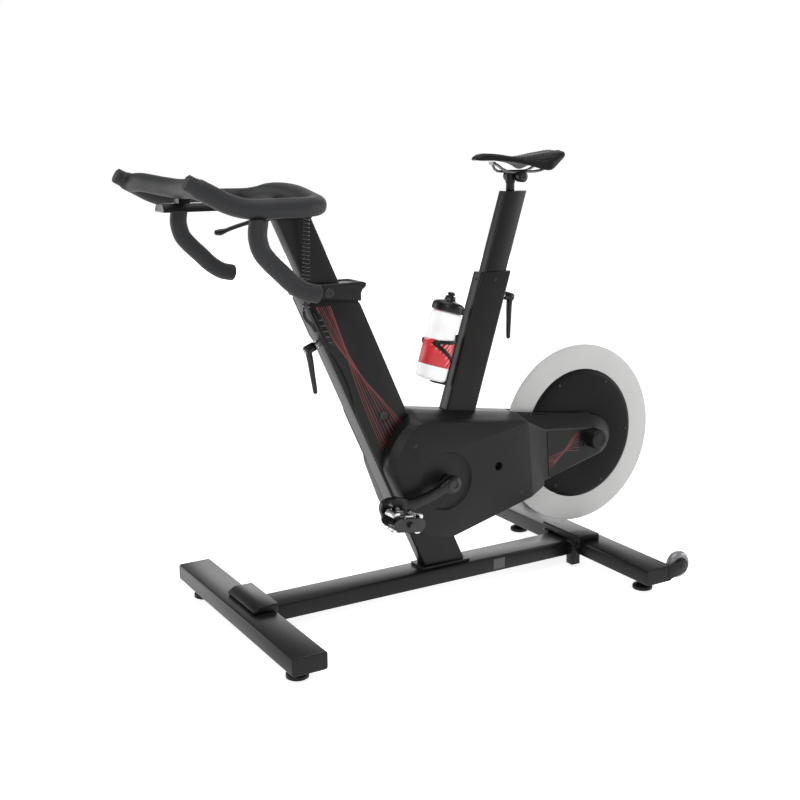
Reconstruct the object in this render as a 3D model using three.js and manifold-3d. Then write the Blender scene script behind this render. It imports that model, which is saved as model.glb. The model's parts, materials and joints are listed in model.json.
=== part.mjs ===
// Indoor training bike with a drop handlebar, a racing saddle, a rear flywheel and clip pedals.
// Millimetres: +X towards the handlebar, +Y to the rider's left, +Z up, origin on the floor in the middle.
import * as THREE from 'three';
import { mergeVertices } from 'three/addons/utils/BufferGeometryUtils.js';
import Module from 'manifold-3d';

const wasm = await Module();
wasm.setup();

// ---------------------------------------------------------------- driving dimensions
// While the pieces are built, x = 0 is the flywheel axle. The whole model is centred at the end.
const GAP = 0.3; // clearance between pieces that rest on each other
const RUNNING = 0.4; // clearance round a shaft or in a slide

const BAR = { width: 80, height: 38.3, top: 69.1, halfLength: 314.6, wall: 2.5 };
const FRONT_BAR_X = 928.8;
const REAR_BAR_X = -5.3;
const PLUG = { thickness: 4, spigot: 18 };
const BEAM = { width: 78, height: 40, top: 67.7, wall: 2.5 };
const FOOT = { inset: 57, radius: 24.4, stud: 5 };
const WHEEL = { radius: 33, halfWidth: 12, x: -80, y: 299, z: 60, pin: 4 };

const MAST = { slope: 0.457, footX: 415, width: 60, depth: 131.9, top: 750, wall: 3 };
const MAST_FOOT = { width: 38, depth: 114, top: 168, plate: 6 };
const HEAD_TOP = 777;
const POST = { width: 40, depth: 84, wall: 2.5, bottom: 493, top: 921.7 };

const SEAT = { slope: -0.3043, topX: 272, top: 771.5, bottom: 285, width: 40, depth: 86.3, wall: 2.5 };
const SEAT_POST = { width: 31, depth: 61.5, wall: 2.5, bottom: 520, top: 966.5 };

const AXLE_Z = 338;
const CRANK = { x: 450, z: 296, length: 170, angle: -16.4, inner: 84, face: 112 };
const SPINDLE_RADIUS = 12;
const SHELL_RADIUS = 24;
const FLYWHEEL = { radius: 230, discRadius: 167.5, ringHalf: 7, discHalf: 13, axle: 8 };
const PULLEY = { big: 84, small: 24, inner: -34, outer: -46, belt: 3 };
const POD_INNER = 20; // inner wall of the covers beside the flywheel
const POD_FACE = 60; // outer face of the covers beside the flywheel
const COVER_FACE = 77; // outer face of the covers beside the cranks
const COVER_WALL = 3;

const RAIL = { bottom: 946, top: 963, rear: 782, front: 1099, lowWidth: 54, topWidth: 38, padHalf: 14 };
RAIL.pads = [
  // rear, front and top of each pad that the foam ring is bolted to
  [808, 840, 970],
  [1038, 1062, 975],
];
const RING = { halfSpan: 212, z: 957 };
const DROP_Y = 219;

const BOTTLE = { lean: -17, radius: 37.5, x: 449.5, z: 527 };

// ---------------------------------------------------------------- shapes and solids
const vector = (x, y, z) => new THREE.Vector3(x, y, z);

function outline(points) {
  return new THREE.Shape(points.map(([across, up]) => new THREE.Vector2(across, up)));
}

function roundedRect(width, height, radius, path = new THREE.Shape()) {
  const a = width / 2;
  const b = height / 2;
  path.moveTo(a, -b + radius);
  path.lineTo(a, b - radius);
  path.absarc(a - radius, b - radius, radius, 0, Math.PI / 2);
  path.lineTo(-a + radius, b);
  path.absarc(-a + radius, b - radius, radius, Math.PI / 2, Math.PI);
  path.lineTo(-a, -b + radius);
  path.absarc(-a + radius, -b + radius, radius, Math.PI, 1.5 * Math.PI);
  path.lineTo(a - radius, -b);
  path.absarc(a - radius, -b + radius, radius, 1.5 * Math.PI, 2 * Math.PI);
  return path;
}

function hollowRect(width, height, radius, wall) {
  const shape = roundedRect(width, height, radius);
  const inner = Math.max(radius - wall, 0.5);
  shape.holes.push(roundedRect(width - 2 * wall, height - 2 * wall, inner, new THREE.Path()));
  return shape;
}

function extruded(shape, depth, bevel, curveSegments) {
  return new THREE.ExtrudeGeometry(shape, {
    depth: depth - 2 * bevel,
    bevelEnabled: bevel > 0,
    bevelThickness: bevel,
    bevelSize: bevel,
    bevelOffset: -bevel,
    bevelSegments: 1,
    curveSegments,
  });
}

// A shape drawn in (x, z), run from yLow to yHigh.
function alongY(shape, yLow, yHigh, bevel = 0, segments = 1) {
  return extruded(shape, yHigh - yLow, bevel, segments).rotateX(Math.PI / 2).translate(0, yHigh - bevel, 0);
}

// A shape drawn in (y, z), run from xLow to xHigh.
function alongX(shape, xLow, xHigh, bevel = 0) {
  const turn = new THREE.Matrix4().makeBasis(vector(0, 1, 0), vector(0, 0, 1), vector(1, 0, 0));
  return extruded(shape, xHigh - xLow, bevel, 1).applyMatrix4(turn).translate(xLow + bevel, 0, 0);
}

// A shape drawn in (x, y), run from zLow to zHigh.
function alongZ(shape, zLow, zHigh, bevel = 0) {
  return extruded(shape, zHigh - zLow, bevel, 1).translate(0, 0, zLow + bevel);
}

function box(xLow, xHigh, yLow, yHigh, zLow, zHigh) {
  const geometry = new THREE.BoxGeometry(xHigh - xLow, yHigh - yLow, zHigh - zLow);
  return geometry.translate((xLow + xHigh) / 2, (yLow + yHigh) / 2, (zLow + zHigh) / 2);
}

function rod(radius, low, high, axis = 'y', sides = 24) {
  const geometry = new THREE.CylinderGeometry(radius, radius, high - low, sides);
  geometry.translate(0, (low + high) / 2, 0);
  if (axis === 'z') geometry.rotateX(Math.PI / 2);
  if (axis === 'x') geometry.rotateZ(-Math.PI / 2);
  return geometry;
}

// A turned piece: the profile lists [radius, distance along the axis].
function turned(profile, axis = 'y', sides = 24) {
  const points = profile.map(([radius, along]) => new THREE.Vector2(radius, along));
  const geometry = new THREE.LatheGeometry(points, sides);
  if (axis === 'z') geometry.rotateX(Math.PI / 2);
  if (axis === 'x') geometry.rotateZ(-Math.PI / 2);
  return geometry;
}

const ringProfile = (points) => [...points, points[0]];

// Sections with the same number of corners, joined in order and closed at both ends.
function loft(rings) {
  const count = rings[0].length;
  const faces = [];
  for (let r = 0; r + 1 < rings.length; r += 1) {
    for (let i = 0; i < count; i += 1) {
      const a = r * count + i;
      const b = r * count + ((i + 1) % count);
      faces.push(a, b, b + count, a, b + count, a + count);
    }
  }
  const last = (rings.length - 1) * count;
  for (let i = 1; i + 1 < count; i += 1) {
    faces.push(0, i + 1, i, last, last + i, last + i + 1);
  }
  const geometry = new THREE.BufferGeometry().setFromPoints(rings.flat());
  geometry.setIndex(faces);
  return geometry;
}

// A padded tube along a smooth curve. size(t) gives [half width, half height].
function paddedTube(points, size, side, steps, sides = 10) {
  const curve = new THREE.CatmullRomCurve3(points, false, 'centripetal');
  const rings = [];
  for (let s = 0; s <= steps; s += 1) {
    const t = s / steps;
    const centre = curve.getPointAt(t);
    const tangent = curve.getTangentAt(t);
    const across = side(tangent).addScaledVector(tangent, -side(tangent).dot(tangent)).normalize();
    const up = tangent.clone().cross(across);
    const [halfWidth, halfHeight] = size(t);
    const ring = [];
    for (let k = 0; k < sides; k += 1) {
      const angle = (2 * Math.PI * k) / sides;
      const corner = centre.clone().addScaledVector(across, halfWidth * Math.cos(angle));
      ring.push(corner.addScaledVector(up, halfHeight * Math.sin(angle)));
    }
    rings.push(ring);
  }
  return loft(rings);
}

function wire(points, radius, steps, sides = 8) {
  const section = new THREE.Shape();
  section.absarc(0, 0, radius, 0, 2 * Math.PI);
  return new THREE.ExtrudeGeometry(section, {
    steps,
    curveSegments: sides,
    bevelEnabled: false,
    extrudePath: new THREE.CatmullRomCurve3(points, false, 'centripetal'),
  });
}

// Leans a piece: x moves by slope for each millimetre of z above the foot.
function leaning(geometry, slope, foot) {
  const shear = new THREE.Matrix4().set(1, 0, slope, -slope * foot, 0, 1, 0, 0, 0, 0, 1, 0, 0, 0, 0, 1);
  return geometry.applyMatrix4(shear);
}

function mirrored(geometry) {
  const copy = (geometry.index ? geometry.toNonIndexed() : geometry.clone()).scale(1, -1, 1);
  const place = copy.attributes.position;
  for (let i = 0; i < place.count; i += 3) {
    const kept = vector(0, 0, 0).fromBufferAttribute(place, i + 1);
    place.setXYZ(i + 1, place.getX(i + 2), place.getY(i + 2), place.getZ(i + 2));
    place.setXYZ(i + 2, kept.x, kept.y, kept.z);
  }
  return copy;
}

function manifoldOf(geometry) {
  const bare = geometry.clone();
  bare.deleteAttribute('normal');
  bare.deleteAttribute('uv');
  const merged = mergeVertices(bare, 1e-3);
  return new wasm.Manifold(
    new wasm.Mesh({
      numProp: 3,
      vertProperties: merged.attributes.position.array,
      triVerts: new Uint32Array(merged.index.array),
    }),
  );
}

function geometryOf(manifold) {
  const mesh = manifold.getMesh();
  const geometry = new THREE.BufferGeometry();
  geometry.setAttribute('position', new THREE.BufferAttribute(mesh.vertProperties, 3));
  geometry.setIndex(new THREE.BufferAttribute(mesh.triVerts, 1));
  return geometry;
}

function cut(body, ...tools) {
  return geometryOf(tools.reduce((left, tool) => left.subtract(manifoldOf(tool)), manifoldOf(body)));
}

function join(first, ...others) {
  return geometryOf(others.reduce((sum, piece) => sum.add(manifoldOf(piece)), manifoldOf(first)));
}

// ---------------------------------------------------------------- materials
const FINISHES = {
  frame_black: { color: 0x1c1c1d, roughness: 0.5, metalness: 0.4 },
  cover_black: { color: 0x1a1a1b, roughness: 0.65, metalness: 0 },
  cap_black: { color: 0x141415, roughness: 0.6, metalness: 0 },
  panel_black: { color: 0x101011, roughness: 0.45, metalness: 0 },
  foam_black: { color: 0x1e1e1f, roughness: 0.95, metalness: 0 },
  lever_black: { color: 0x0f0f10, roughness: 0.5, metalness: 0 },
  rubber_black: { color: 0x151515, roughness: 0.9, metalness: 0 },
  bright_steel: { color: 0xc8c8c8, roughness: 0.25, metalness: 1 },
  flywheel_grey: { color: 0xcfcfcd, roughness: 0.45, metalness: 0.6 },
  disc_black: { color: 0x131314, roughness: 0.7, metalness: 0.1 },
  magnet_grey: { color: 0x6f7072, roughness: 0.4, metalness: 0.8 },
  motor_white: { color: 0xd8d8d4, roughness: 0.5, metalness: 0 },
  bottle_white: { color: 0xf1f1ef, roughness: 0.4, metalness: 0 },
  saddle_black: { color: 0x161617, roughness: 0.6, metalness: 0 },
};

const model = new THREE.Group();

function group(parent, x = 0, y = 0, z = 0) {
  const made = new THREE.Group();
  made.position.set(x, y, z);
  parent.add(made);
  return made;
}

function piece(parent, name, finish, geometry) {
  const mesh = new THREE.Mesh(geometry, new THREE.MeshStandardMaterial(FINISHES[finish]));
  mesh.name = name;
  parent.add(mesh);
  return mesh;
}

const SIDES = [
  ['left', 1],
  ['right', -1],
];
const sided = (geometry, side) => (side > 0 ? geometry : mirrored(geometry));

// ---------------------------------------------------------------- floor frame
function floorBar() {
  const tube = alongY(hollowRect(BAR.width, BAR.height, 5, BAR.wall), -BAR.halfLength, BAR.halfLength);
  const footY = BAR.halfLength - FOOT.inset;
  const holes = [footY, -footY].map((y) =>
    rod(FOOT.stud + RUNNING, -BAR.height, 0, 'z', 16).translate(0, y, 0),
  );
  return cut(tube, ...holes);
}

// Plug in a bar's left end. Its flange covers the tube's end face.
function barPlug(flange) {
  const innerWidth = BAR.width - 2 * BAR.wall - 2 * GAP;
  const innerHeight = BAR.height - 2 * BAR.wall - 2 * GAP;
  const spigot = roundedRect(innerWidth, innerHeight, 2.2);
  const start = BAR.halfLength - PLUG.spigot;
  return join(
    alongY(flange, BAR.halfLength + GAP, BAR.halfLength + PLUG.thickness, 1),
    alongY(spigot, start, BAR.halfLength + GAP + 1.5),
  );
}

// The rear plug carries a bracket behind the bar, with the pin that the transport wheel turns on.
function wheelPlug(barX) {
  const flange = roundedRect(BAR.width, BAR.height, 5);
  const barZ = BAR.top - BAR.height / 2;
  const pinX = WHEEL.x - barX;
  const pinZ = WHEEL.z - barZ;
  const arm = outline([
    [-BAR.width / 2 + 12, -BAR.height / 2 + 3],
    [-BAR.width / 2 + 12, BAR.height / 2 - 1],
    [pinX + 4, pinZ + 17],
    [pinX - 12, pinZ + 12],
    [pinX - 16, pinZ - 2],
    [pinX - 8, pinZ - 15],
    [pinX + 10, pinZ - 20],
  ]);
  const pinEnd = BAR.halfLength + 2;
  const pin = rod(WHEEL.pin, WHEEL.y - WHEEL.halfWidth - 2, pinEnd, 'y', 16);
  const collar = rod(WHEEL.pin + 4, WHEEL.y + WHEEL.halfWidth + RUNNING, pinEnd, 'y', 16);
  return join(
    barPlug(flange),
    alongY(arm, BAR.halfLength + GAP, BAR.halfLength + 5),
    pin.translate(pinX, 0, pinZ),
    collar.translate(pinX, 0, pinZ),
  );
}

function transportWheel() {
  const half = WHEEL.halfWidth;
  const bore = WHEEL.pin + RUNNING;
  const tread = ringProfile([
    [bore, -half],
    [24, -half],
    [WHEEL.radius - 2, -half * 0.6],
    [WHEEL.radius, 0],
    [WHEEL.radius - 2, half * 0.6],
    [24, half],
    [bore, half],
  ]);
  return turned(tread, 'y', 24);
}

function levellingFoot() {
  const underside = BAR.top - BAR.height;
  const profile = [
    [0, 0],
    [FOOT.radius, 0],
    [FOOT.radius, 9],
    [10, 18],
    [10, underside - GAP],
    [FOOT.stud, underside - GAP],
    [FOOT.stud, underside + 14],
    [0, underside + 14],
  ];
  return turned(profile, 'z', 16);
}

function buildFloorFrame() {
  const barZ = BAR.top - BAR.height / 2;
  const front = group(model, FRONT_BAR_X, 0, barZ);
  const rear = group(model, REAR_BAR_X, 0, barZ);
  piece(front, 'front_bar', 'frame_black', floorBar());
  piece(rear, 'rear_bar', 'frame_black', floorBar());

  const beamZ = BEAM.top - BEAM.height / 2;
  const beamRear = REAR_BAR_X + BAR.width / 2 + GAP;
  const beamFront = FRONT_BAR_X - BAR.width / 2 - GAP;
  const beam = alongX(hollowRect(BEAM.width, BEAM.height, 5, BEAM.wall), beamRear, beamFront);
  piece(group(model, 0, 0, beamZ), 'main_beam', 'frame_black', beam);

  const flange = roundedRect(BAR.width, BAR.height, 5);
  for (const [name, side] of SIDES) {
    piece(front, `front_bar_plug_${name}`, 'cap_black', sided(barPlug(flange), side));
    piece(rear, `rear_bar_plug_${name}`, 'cap_black', sided(wheelPlug(REAR_BAR_X), side));
    const footY = side * (BAR.halfLength - FOOT.inset);
    piece(group(model, FRONT_BAR_X, footY, 0), `foot_front_${name}`, 'rubber_black', levellingFoot());
    piece(group(model, REAR_BAR_X, footY, 0), `foot_rear_${name}`, 'rubber_black', levellingFoot());
    const wheelPlace = group(model, WHEEL.x, side * WHEEL.y, WHEEL.z);
    piece(wheelPlace, `transport_wheel_${name}`, 'rubber_black', transportWheel());
  }

  const seatZ = BAR.top + GAP;
  const capProfile = outline([
    [885, seatZ],
    [941, seatZ],
    [944, seatZ + 7],
    [928, 86.6],
    [885, 86.6],
  ]);
  piece(model, 'front_joint_cap', 'cap_black', alongY(capProfile, -74, 74, 2));

  // The rear cover laps over the bar's front face and has a leg in each corner between the bar and the beam.
  const beamSide = BEAM.width / 2 + GAP;
  const barFace = REAR_BAR_X + BAR.width / 2 + GAP;
  const plateProfile = outline([
    [-18, seatZ],
    [50, seatZ],
    [50, 83],
    [47, 86],
    [-14, 86],
    [-18, 82],
  ]);
  const lap = box(barFace, 50, beamSide, 75, 57, seatZ + 2);
  const leg = box(barFace, 60, beamSide, 63, 10, seatZ + 2);
  const wraps = [lap, leg, mirrored(lap), mirrored(leg)];
  piece(model, 'rear_joint_cover', 'cap_black', join(alongY(plateProfile, -76, 76, 2), ...wraps));
}

// ---------------------------------------------------------------- mast, on a forward lean
const leanMast = (geometry) => leaning(geometry, MAST.slope, BEAM.top);
const mastX = (z) => MAST.footX + MAST.slope * (z - BEAM.top);
const shellRod = (radius, low, high) => rod(radius, low, high, 'y', 24).translate(CRANK.x, 0, CRANK.z);

// A block that follows the mast's lean, centred on the mast's axis.
function mastBlock(depth, width, zLow, zHigh, radius = 6) {
  return leanMast(alongZ(roundedRect(depth, width, radius), zLow, zHigh).translate(MAST.footX, 0, 0));
}

function mastTube() {
  const { wall } = MAST;
  const plate = box(352, 486, -28, 28, BEAM.top + GAP, BEAM.top + GAP + MAST_FOOT.plate);
  const outside = join(
    mastBlock(MAST.depth, MAST.width, MAST_FOOT.top, MAST.top),
    mastBlock(MAST_FOOT.depth, MAST_FOOT.width, BEAM.top + GAP, MAST_FOOT.top + 6),
    plate,
  );
  return cut(
    outside,
    mastBlock(MAST.depth - 2 * wall, MAST.width - 2 * wall, MAST_FOOT.top + wall, MAST.top + 10, 3),
    mastBlock(MAST_FOOT.depth - 2 * wall, MAST_FOOT.width - 2 * wall, BEAM.top + 8, MAST_FOOT.top + 10, 3),
    shellRod(SHELL_RADIUS + RUNNING, -60, 60),
  );
}

// Plastic head: closes the mast, guides the post and carries a ledge for a phone or tablet behind it.
function mastHead() {
  const half = MAST.depth / 2 + 3.5;
  const side = outline([
    [mastX(734) - half, 734],
    [mastX(750) + half, 750],
    [mastX(HEAD_TOP - 4) + half, HEAD_TOP - 4],
    [mastX(HEAD_TOP - 4) + half - 4, HEAD_TOP],
    [644, HEAD_TOP],
    [637, HEAD_TOP - 4],
    [638, 765],
    [646, 760],
    [650, 752],
  ]);
  const shellTop = MAST.top + GAP;
  const body = join(
    alongY(side, -36, 36, 2.5),
    mastBlock(MAST.depth - 2 * MAST.wall - 1, MAST.width - 2 * MAST.wall - 1, 690, MAST.top + 6, 2.5),
  );
  const envelope = cut(
    mastBlock(MAST.depth + 2 * GAP, MAST.width + 2 * GAP, 700, shellTop),
    mastBlock(MAST.depth - 2 * MAST.wall - 1, MAST.width - 2 * MAST.wall - 1, 680, 760, 2.5),
  );
  const ledge = box(652, 700, -30, 30, HEAD_TOP - 3, HEAD_TOP + 5);
  return cut(
    body,
    envelope,
    mastBlock(POST.depth + 2 * RUNNING, POST.width + 2 * RUNNING, 680, HEAD_TOP + 5, 4),
    ledge,
  );
}

// Side panel with a waisted front edge, and the raised channel that takes the data cable.
function mastPanel() {
  const front = (z) => mastX(z) + MAST.depth / 2;
  const rear = (z) => mastX(z) - MAST.depth / 2;
  const waist = [0, 6, 12, 14, 12, 6, 0];
  const waistTop = 650;
  const waistStep = 28;
  const frontEdge = waist.map((inset, i) => [
    front(waistTop - i * waistStep) - 1 - inset,
    waistTop - i * waistStep,
  ]);
  const side = outline([
    [front(746) - 1, 746],
    ...frontEdge,
    [front(340) - 1, 340],
    [rear(330) + 2, 330],
    [rear(731) + 2, 731],
  ]);
  const inner = MAST.width / 2 + GAP;
  const channel = outline([
    [front(719) - 3, 719],
    [front(640) - 6, 640],
    [front(640) - 20, 640],
    [front(712) - 20, 712],
  ]);
  return [alongY(side, inner, inner + 3.2, 0.6), alongY(channel, inner + 2, inner + 8, 1)];
}

function handlebarPost() {
  const { width, depth, wall, bottom, top } = POST;
  const inner = mastBlock(depth - 2 * wall, width - 2 * wall, bottom - 5, top - 6, 3);
  return cut(mastBlock(depth, width, bottom, top, 4), inner);
}

// L-shaped clamp lever: hub on the X axis, arm hanging from the hub's outer end.
function clampLever() {
  const hubProfile = [
    [0, 0],
    [9, 0],
    [9, 14],
    [10.5, 16],
    [10.5, 34],
    [7, 38],
    [0, 38],
  ];
  const hub = turned(hubProfile, 'x', 16);
  const arm = paddedTube(
    [vector(29, 0, -4), vector(34, 0, -30), vector(43, 0, -62), vector(52, 0, -92)],
    (t) => [8.5 - 3 * t, 7.5 - 2.5 * t],
    () => vector(0, 1, 0),
    6,
    8,
  );
  return join(hub, arm);
}

function buildMast() {
  piece(model, 'mast_tube', 'frame_black', mastTube());
  piece(model, 'mast_head', 'cover_black', mastHead());
  const [skin, channel] = mastPanel();
  piece(model, 'mast_panel_left', 'panel_black', join(skin, channel));
  piece(model, 'mast_panel_right', 'panel_black', mirrored(skin));
  piece(model, 'handlebar_post', 'frame_black', handlebarPost());

  const leverZ = 640;
  const lean = Math.atan(MAST.slope);
  const lever = piece(
    group(model, mastX(leverZ) + MAST.depth / 2 + GAP, 0, leverZ),
    'mast_clamp_lever',
    'lever_black',
    clampLever(),
  );
  lever.rotation.y = lean;

  const coilRadius = 8.4;
  const route = [
    vector(793, 51, 933.5),
    vector(793, 50, 860),
    vector(793, 47, 790),
    vector(792, 46, 719.5),
  ];
  piece(model, 'handlebar_cable', 'rubber_black', wire(route, coilRadius, 6));
}

// ---------------------------------------------------------------- handlebar
function slideRail() {
  const low = RAIL.lowWidth / 2;
  const top = RAIL.topWidth / 2;
  const section = outline([
    [-low, RAIL.bottom],
    [low, RAIL.bottom],
    [low, RAIL.bottom + 5],
    [top, RAIL.top],
    [-top, RAIL.top],
    [-low, RAIL.bottom + 5],
  ]);
  const pads = RAIL.pads.map(([rear, front, padTop]) =>
    box(rear, front, -RAIL.padHalf, RAIL.padHalf, RAIL.top - 3, padTop),
  );
  return join(alongX(section, RAIL.rear, RAIL.front, 0.8), ...pads);
}

// Block on the post's top: a channel for the rail, a boss for the reach lever and a boss for the cable.
function sliderBlock() {
  const low = RAIL.lowWidth / 2 + RUNNING;
  const top = RAIL.topWidth / 2 + RUNNING;
  const channel = outline([
    [-low, RAIL.bottom - RUNNING],
    [low, RAIL.bottom - RUNNING],
    [low, RAIL.bottom + 5 + RUNNING],
    [top, RAIL.top + RUNNING],
    [-top, RAIL.top + RUNNING],
    [-low, RAIL.bottom + 5 + RUNNING],
  ]);
  const block = outline([
    [-30, 922],
    [30, 922],
    [38, 930],
    [38, 954],
    [-38, 954],
    [-38, 930],
  ]);
  return cut(
    join(alongX(block, 768, 892, 2), box(783, 803, 36, 60, 934, 948)),
    alongX(channel, 700, 1000),
  );
}

function reachLever() {
  const hubProfile = [
    [0, 0],
    [11, 0],
    [11, 11],
    [8, 15],
    [0, 15],
  ];
  const hub = turned(hubProfile, 'y', 16);
  const arm = paddedTube(
    [vector(6, 8, -3), vector(40, 9, -8), vector(75, 9, -15), vector(104, 9, -20)],
    (t) => [5.5 - 1.5 * Math.sin(Math.PI * t), 5 - Math.sin(Math.PI * t)],
    () => vector(0, 1, 0),
    6,
    8,
  );
  return join(hub, arm);
}

// Foam ring: a horseshoe from horn tip to horn tip round the back, and a bowed bar between the horns.
function foamRing() {
  const { halfSpan, z } = RING;
  const half = [
    [1121, 213, 1013],
    [1075, 213, 989],
    [1035, halfSpan + 1, 969],
    [990, halfSpan, z],
    [925, halfSpan, z],
    [866, 207, z],
    [834, 182, z + 1],
    [824, 130, z + 9],
    [823, 65, z + 23],
  ];
  const left = half.map(([x, y, height]) => vector(x, y, height));
  const right = half.map(([x, y, height]) => vector(x, -y, height)).reverse();
  const loop = [...left, vector(823, 0, z + 27), ...right];
  const hornStart = 0.05;
  const horseshoe = paddedTube(
    loop,
    (t) => {
      const fromTip = Math.min(Math.min(t, 1 - t) / hornStart, 1);
      return [17 + 6 * fromTip, 17 + 3.5 * fromTip];
    },
    (tangent) => vector(0, 0, 1).cross(tangent),
    44,
  );
  const front = paddedTube(
    [
      vector(1088, 205, 997),
      vector(1084, 150, 1000),
      vector(1066, 75, 992),
      vector(1052, 0, 988),
      vector(1066, -75, 992),
      vector(1084, -150, 1000),
      vector(1088, -205, 997),
    ],
    () => [17, 18],
    (tangent) => vector(0, 0, 1).cross(tangent),
    12,
  );
  return join(horseshoe, front);
}

function foamDrop() {
  const route = [
    [976, 935.4],
    [978.5, 901],
    [971, 876],
    [954, 855],
    [928, 830],
    [902, 806],
    [877, 791],
    [862, 787],
    [848, 784],
  ];
  return paddedTube(
    route.map(([x, z], i) => vector(x, DROP_Y + (i > 6 ? 2 : 0), z)),
    (t) => [19 - 2 * Math.max(0, t - 0.94) / 0.06, 19 - 2 * Math.max(0, t - 0.94) / 0.06],
    () => vector(0, 1, 0),
    15,
  );
}

function buildHandlebar() {
  piece(model, 'slider_block', 'cap_black', sliderBlock());
  piece(model, 'slide_rail', 'frame_black', slideRail());
  piece(group(model, 882, 38 + GAP, 932), 'reach_lever', 'lever_black', reachLever());
  const ring = foamRing();
  const seats = RAIL.pads.map(([rear, front, top]) =>
    box(rear - GAP, front + GAP, -RAIL.padHalf - GAP, RAIL.padHalf + GAP, RAIL.bottom, top + GAP),
  );
  piece(model, 'handlebar_ring', 'foam_black', cut(ring, ...seats));
  for (const [name, side] of SIDES) {
    piece(model, `handlebar_drop_${name}`, 'foam_black', sided(foamDrop(), side));
  }
}

// ---------------------------------------------------------------- seat, on a backward lean
const seatX = (z) => SEAT.topX + SEAT.slope * (z - SEAT.top);

function seatBlock(depth, width, zLow, zHigh, radius = 5) {
  const upright = alongZ(roundedRect(depth, width, radius), zLow, zHigh).translate(SEAT.topX, 0, 0);
  return leaning(upright, SEAT.slope, SEAT.top);
}

function seatTube() {
  const { width, depth, wall, bottom, top } = SEAT;
  return cut(
    seatBlock(depth, width, bottom, top),
    seatBlock(depth - 2 * wall, width - 2 * wall, bottom - 5, top + 5, 2.5),
    mastBlock(MAST.depth + 1, MAST.width + 1, 200, 500),
    shellRod(SHELL_RADIUS + RUNNING, -60, 60),
  );
}

// Plastic sleeve in the top of the seat tube, with a thin flange over the tube's end.
function seatCollar() {
  const { width, depth, wall, top } = SEAT;
  const sleeve = seatBlock(depth - 2 * (wall + GAP), width - 2 * (wall + GAP), 716, top + 1.5, 2.2);
  const flange = seatBlock(depth, width, top + GAP, top + 3.5);
  const postRoom = seatBlock(SEAT_POST.depth + 2 * RUNNING, SEAT_POST.width + 2 * RUNNING, 700, top + 9, 3.4);
  return cut(join(sleeve, flange), postRoom);
}

function seatPost() {
  const { width, depth, wall, bottom, top } = SEAT_POST;
  const inside = seatBlock(depth - 2 * wall, width - 2 * wall, bottom - 20, top - 4, 1.5);
  return cut(seatBlock(depth, width, bottom, top, 3), inside);
}

const CLAMP = { x: 206, z: 1001, radius: 13.5, railY: 22, railZ: 1012.5, railRadius: 3.5 };

// Upright stem with an ear behind it for the clamp bolt.
function saddleStem() {
  const stemX = 221;
  const stemFoot = SEAT_POST.top + GAP;
  const stemProfile = [
    [0, stemFoot],
    [10.5, stemFoot],
    [10.5, 985],
    [12, 986],
    [12, 1008],
    [9, 1011],
    [0, 1011],
  ];
  const stem = turned(stemProfile, 'z', 16);
  const ear = box(CLAMP.x, stemX, -9, 9, 994, 1005);
  const bolt = rod(CLAMP.radius - 5, -13, 13, 'y', 16).translate(CLAMP.x, 0, CLAMP.z);
  return join(stem.translate(stemX, 0, 0), ear, bolt);
}

// Two cheeks joined behind the stem's ear, each with a groove for one rail.
function saddleClamp() {
  const groove = rod(CLAMP.railRadius + 0.8, 150, 250, 'x', 8).translate(0, CLAMP.railY, CLAMP.railZ);
  const disc = rod(CLAMP.radius, 13.4, 33, 'y', 18).translate(CLAMP.x, 0, CLAMP.z);
  const cheek = cut(join(disc, box(CLAMP.x - 20, CLAMP.x + 4, 13.4, 20, 993, 1005)), groove);
  return join(cheek, mirrored(cheek), box(CLAMP.x - 20, CLAMP.x - 14, -15, 15, 993, 1005));
}

function saddleRails() {
  const railAt = (side) =>
    wire(
      [
        vector(276, side * 5, 1034),
        vector(266, side * 10, 1029),
        vector(254, side * 18, 1018),
        vector(240, side * CLAMP.railY, CLAMP.railZ),
        vector(225, side * CLAMP.railY, CLAMP.railZ),
        vector(180, side * CLAMP.railY, CLAMP.railZ),
        vector(166, side * CLAMP.railY, CLAMP.railZ),
        vector(146, side * 26, 1016),
        vector(124, side * 30, 1026),
      ],
      CLAMP.railRadius,
      12,
      4,
    );
  const nose = box(270, 278, -9, 9, 1030, 1037);
  return join(railAt(1), railAt(-1), nose);
}

// Saddle: closed form, narrow nose at the front, wide wings at the back.
function saddlePad() {
  const sections = [
    // x, half width, top, edge height
    [327, 12, 1047, 1041],
    [317, 18, 1053, 1039],
    [285, 21, 1056, 1039],
    [250, 25, 1053, 1037],
    [220, 31, 1050, 1034],
    [196, 41, 1050, 1027],
    [172, 55, 1052, 1018],
    [150, 65, 1056, 1012],
    [120, 58, 1061, 1029],
    [96, 47, 1063, 1042],
    [79, 30, 1060, 1051],
  ];
  const baseZ = 1032;
  const rings = sections.map(([x, half, top, edge], i) => {
    const isEnd = i === 0 || i === sections.length - 1;
    const belly = isEnd ? edge - 1.5 : Math.max(edge + 4, baseZ);
    const crown = isEnd ? top : top - 2;
    return [
      [half, edge],
      [half * 0.96, edge + (top - edge) * 0.62],
      [half * 0.6, top - 1],
      [0, crown],
      [-half * 0.6, top - 1],
      [-half * 0.96, edge + (top - edge) * 0.62],
      [-half, edge],
      [-half * 0.5, belly],
      [0, belly],
      [half * 0.5, belly],
    ].map(([y, z]) => vector(x, y, z));
  });
  return loft(rings.reverse());
}

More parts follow.
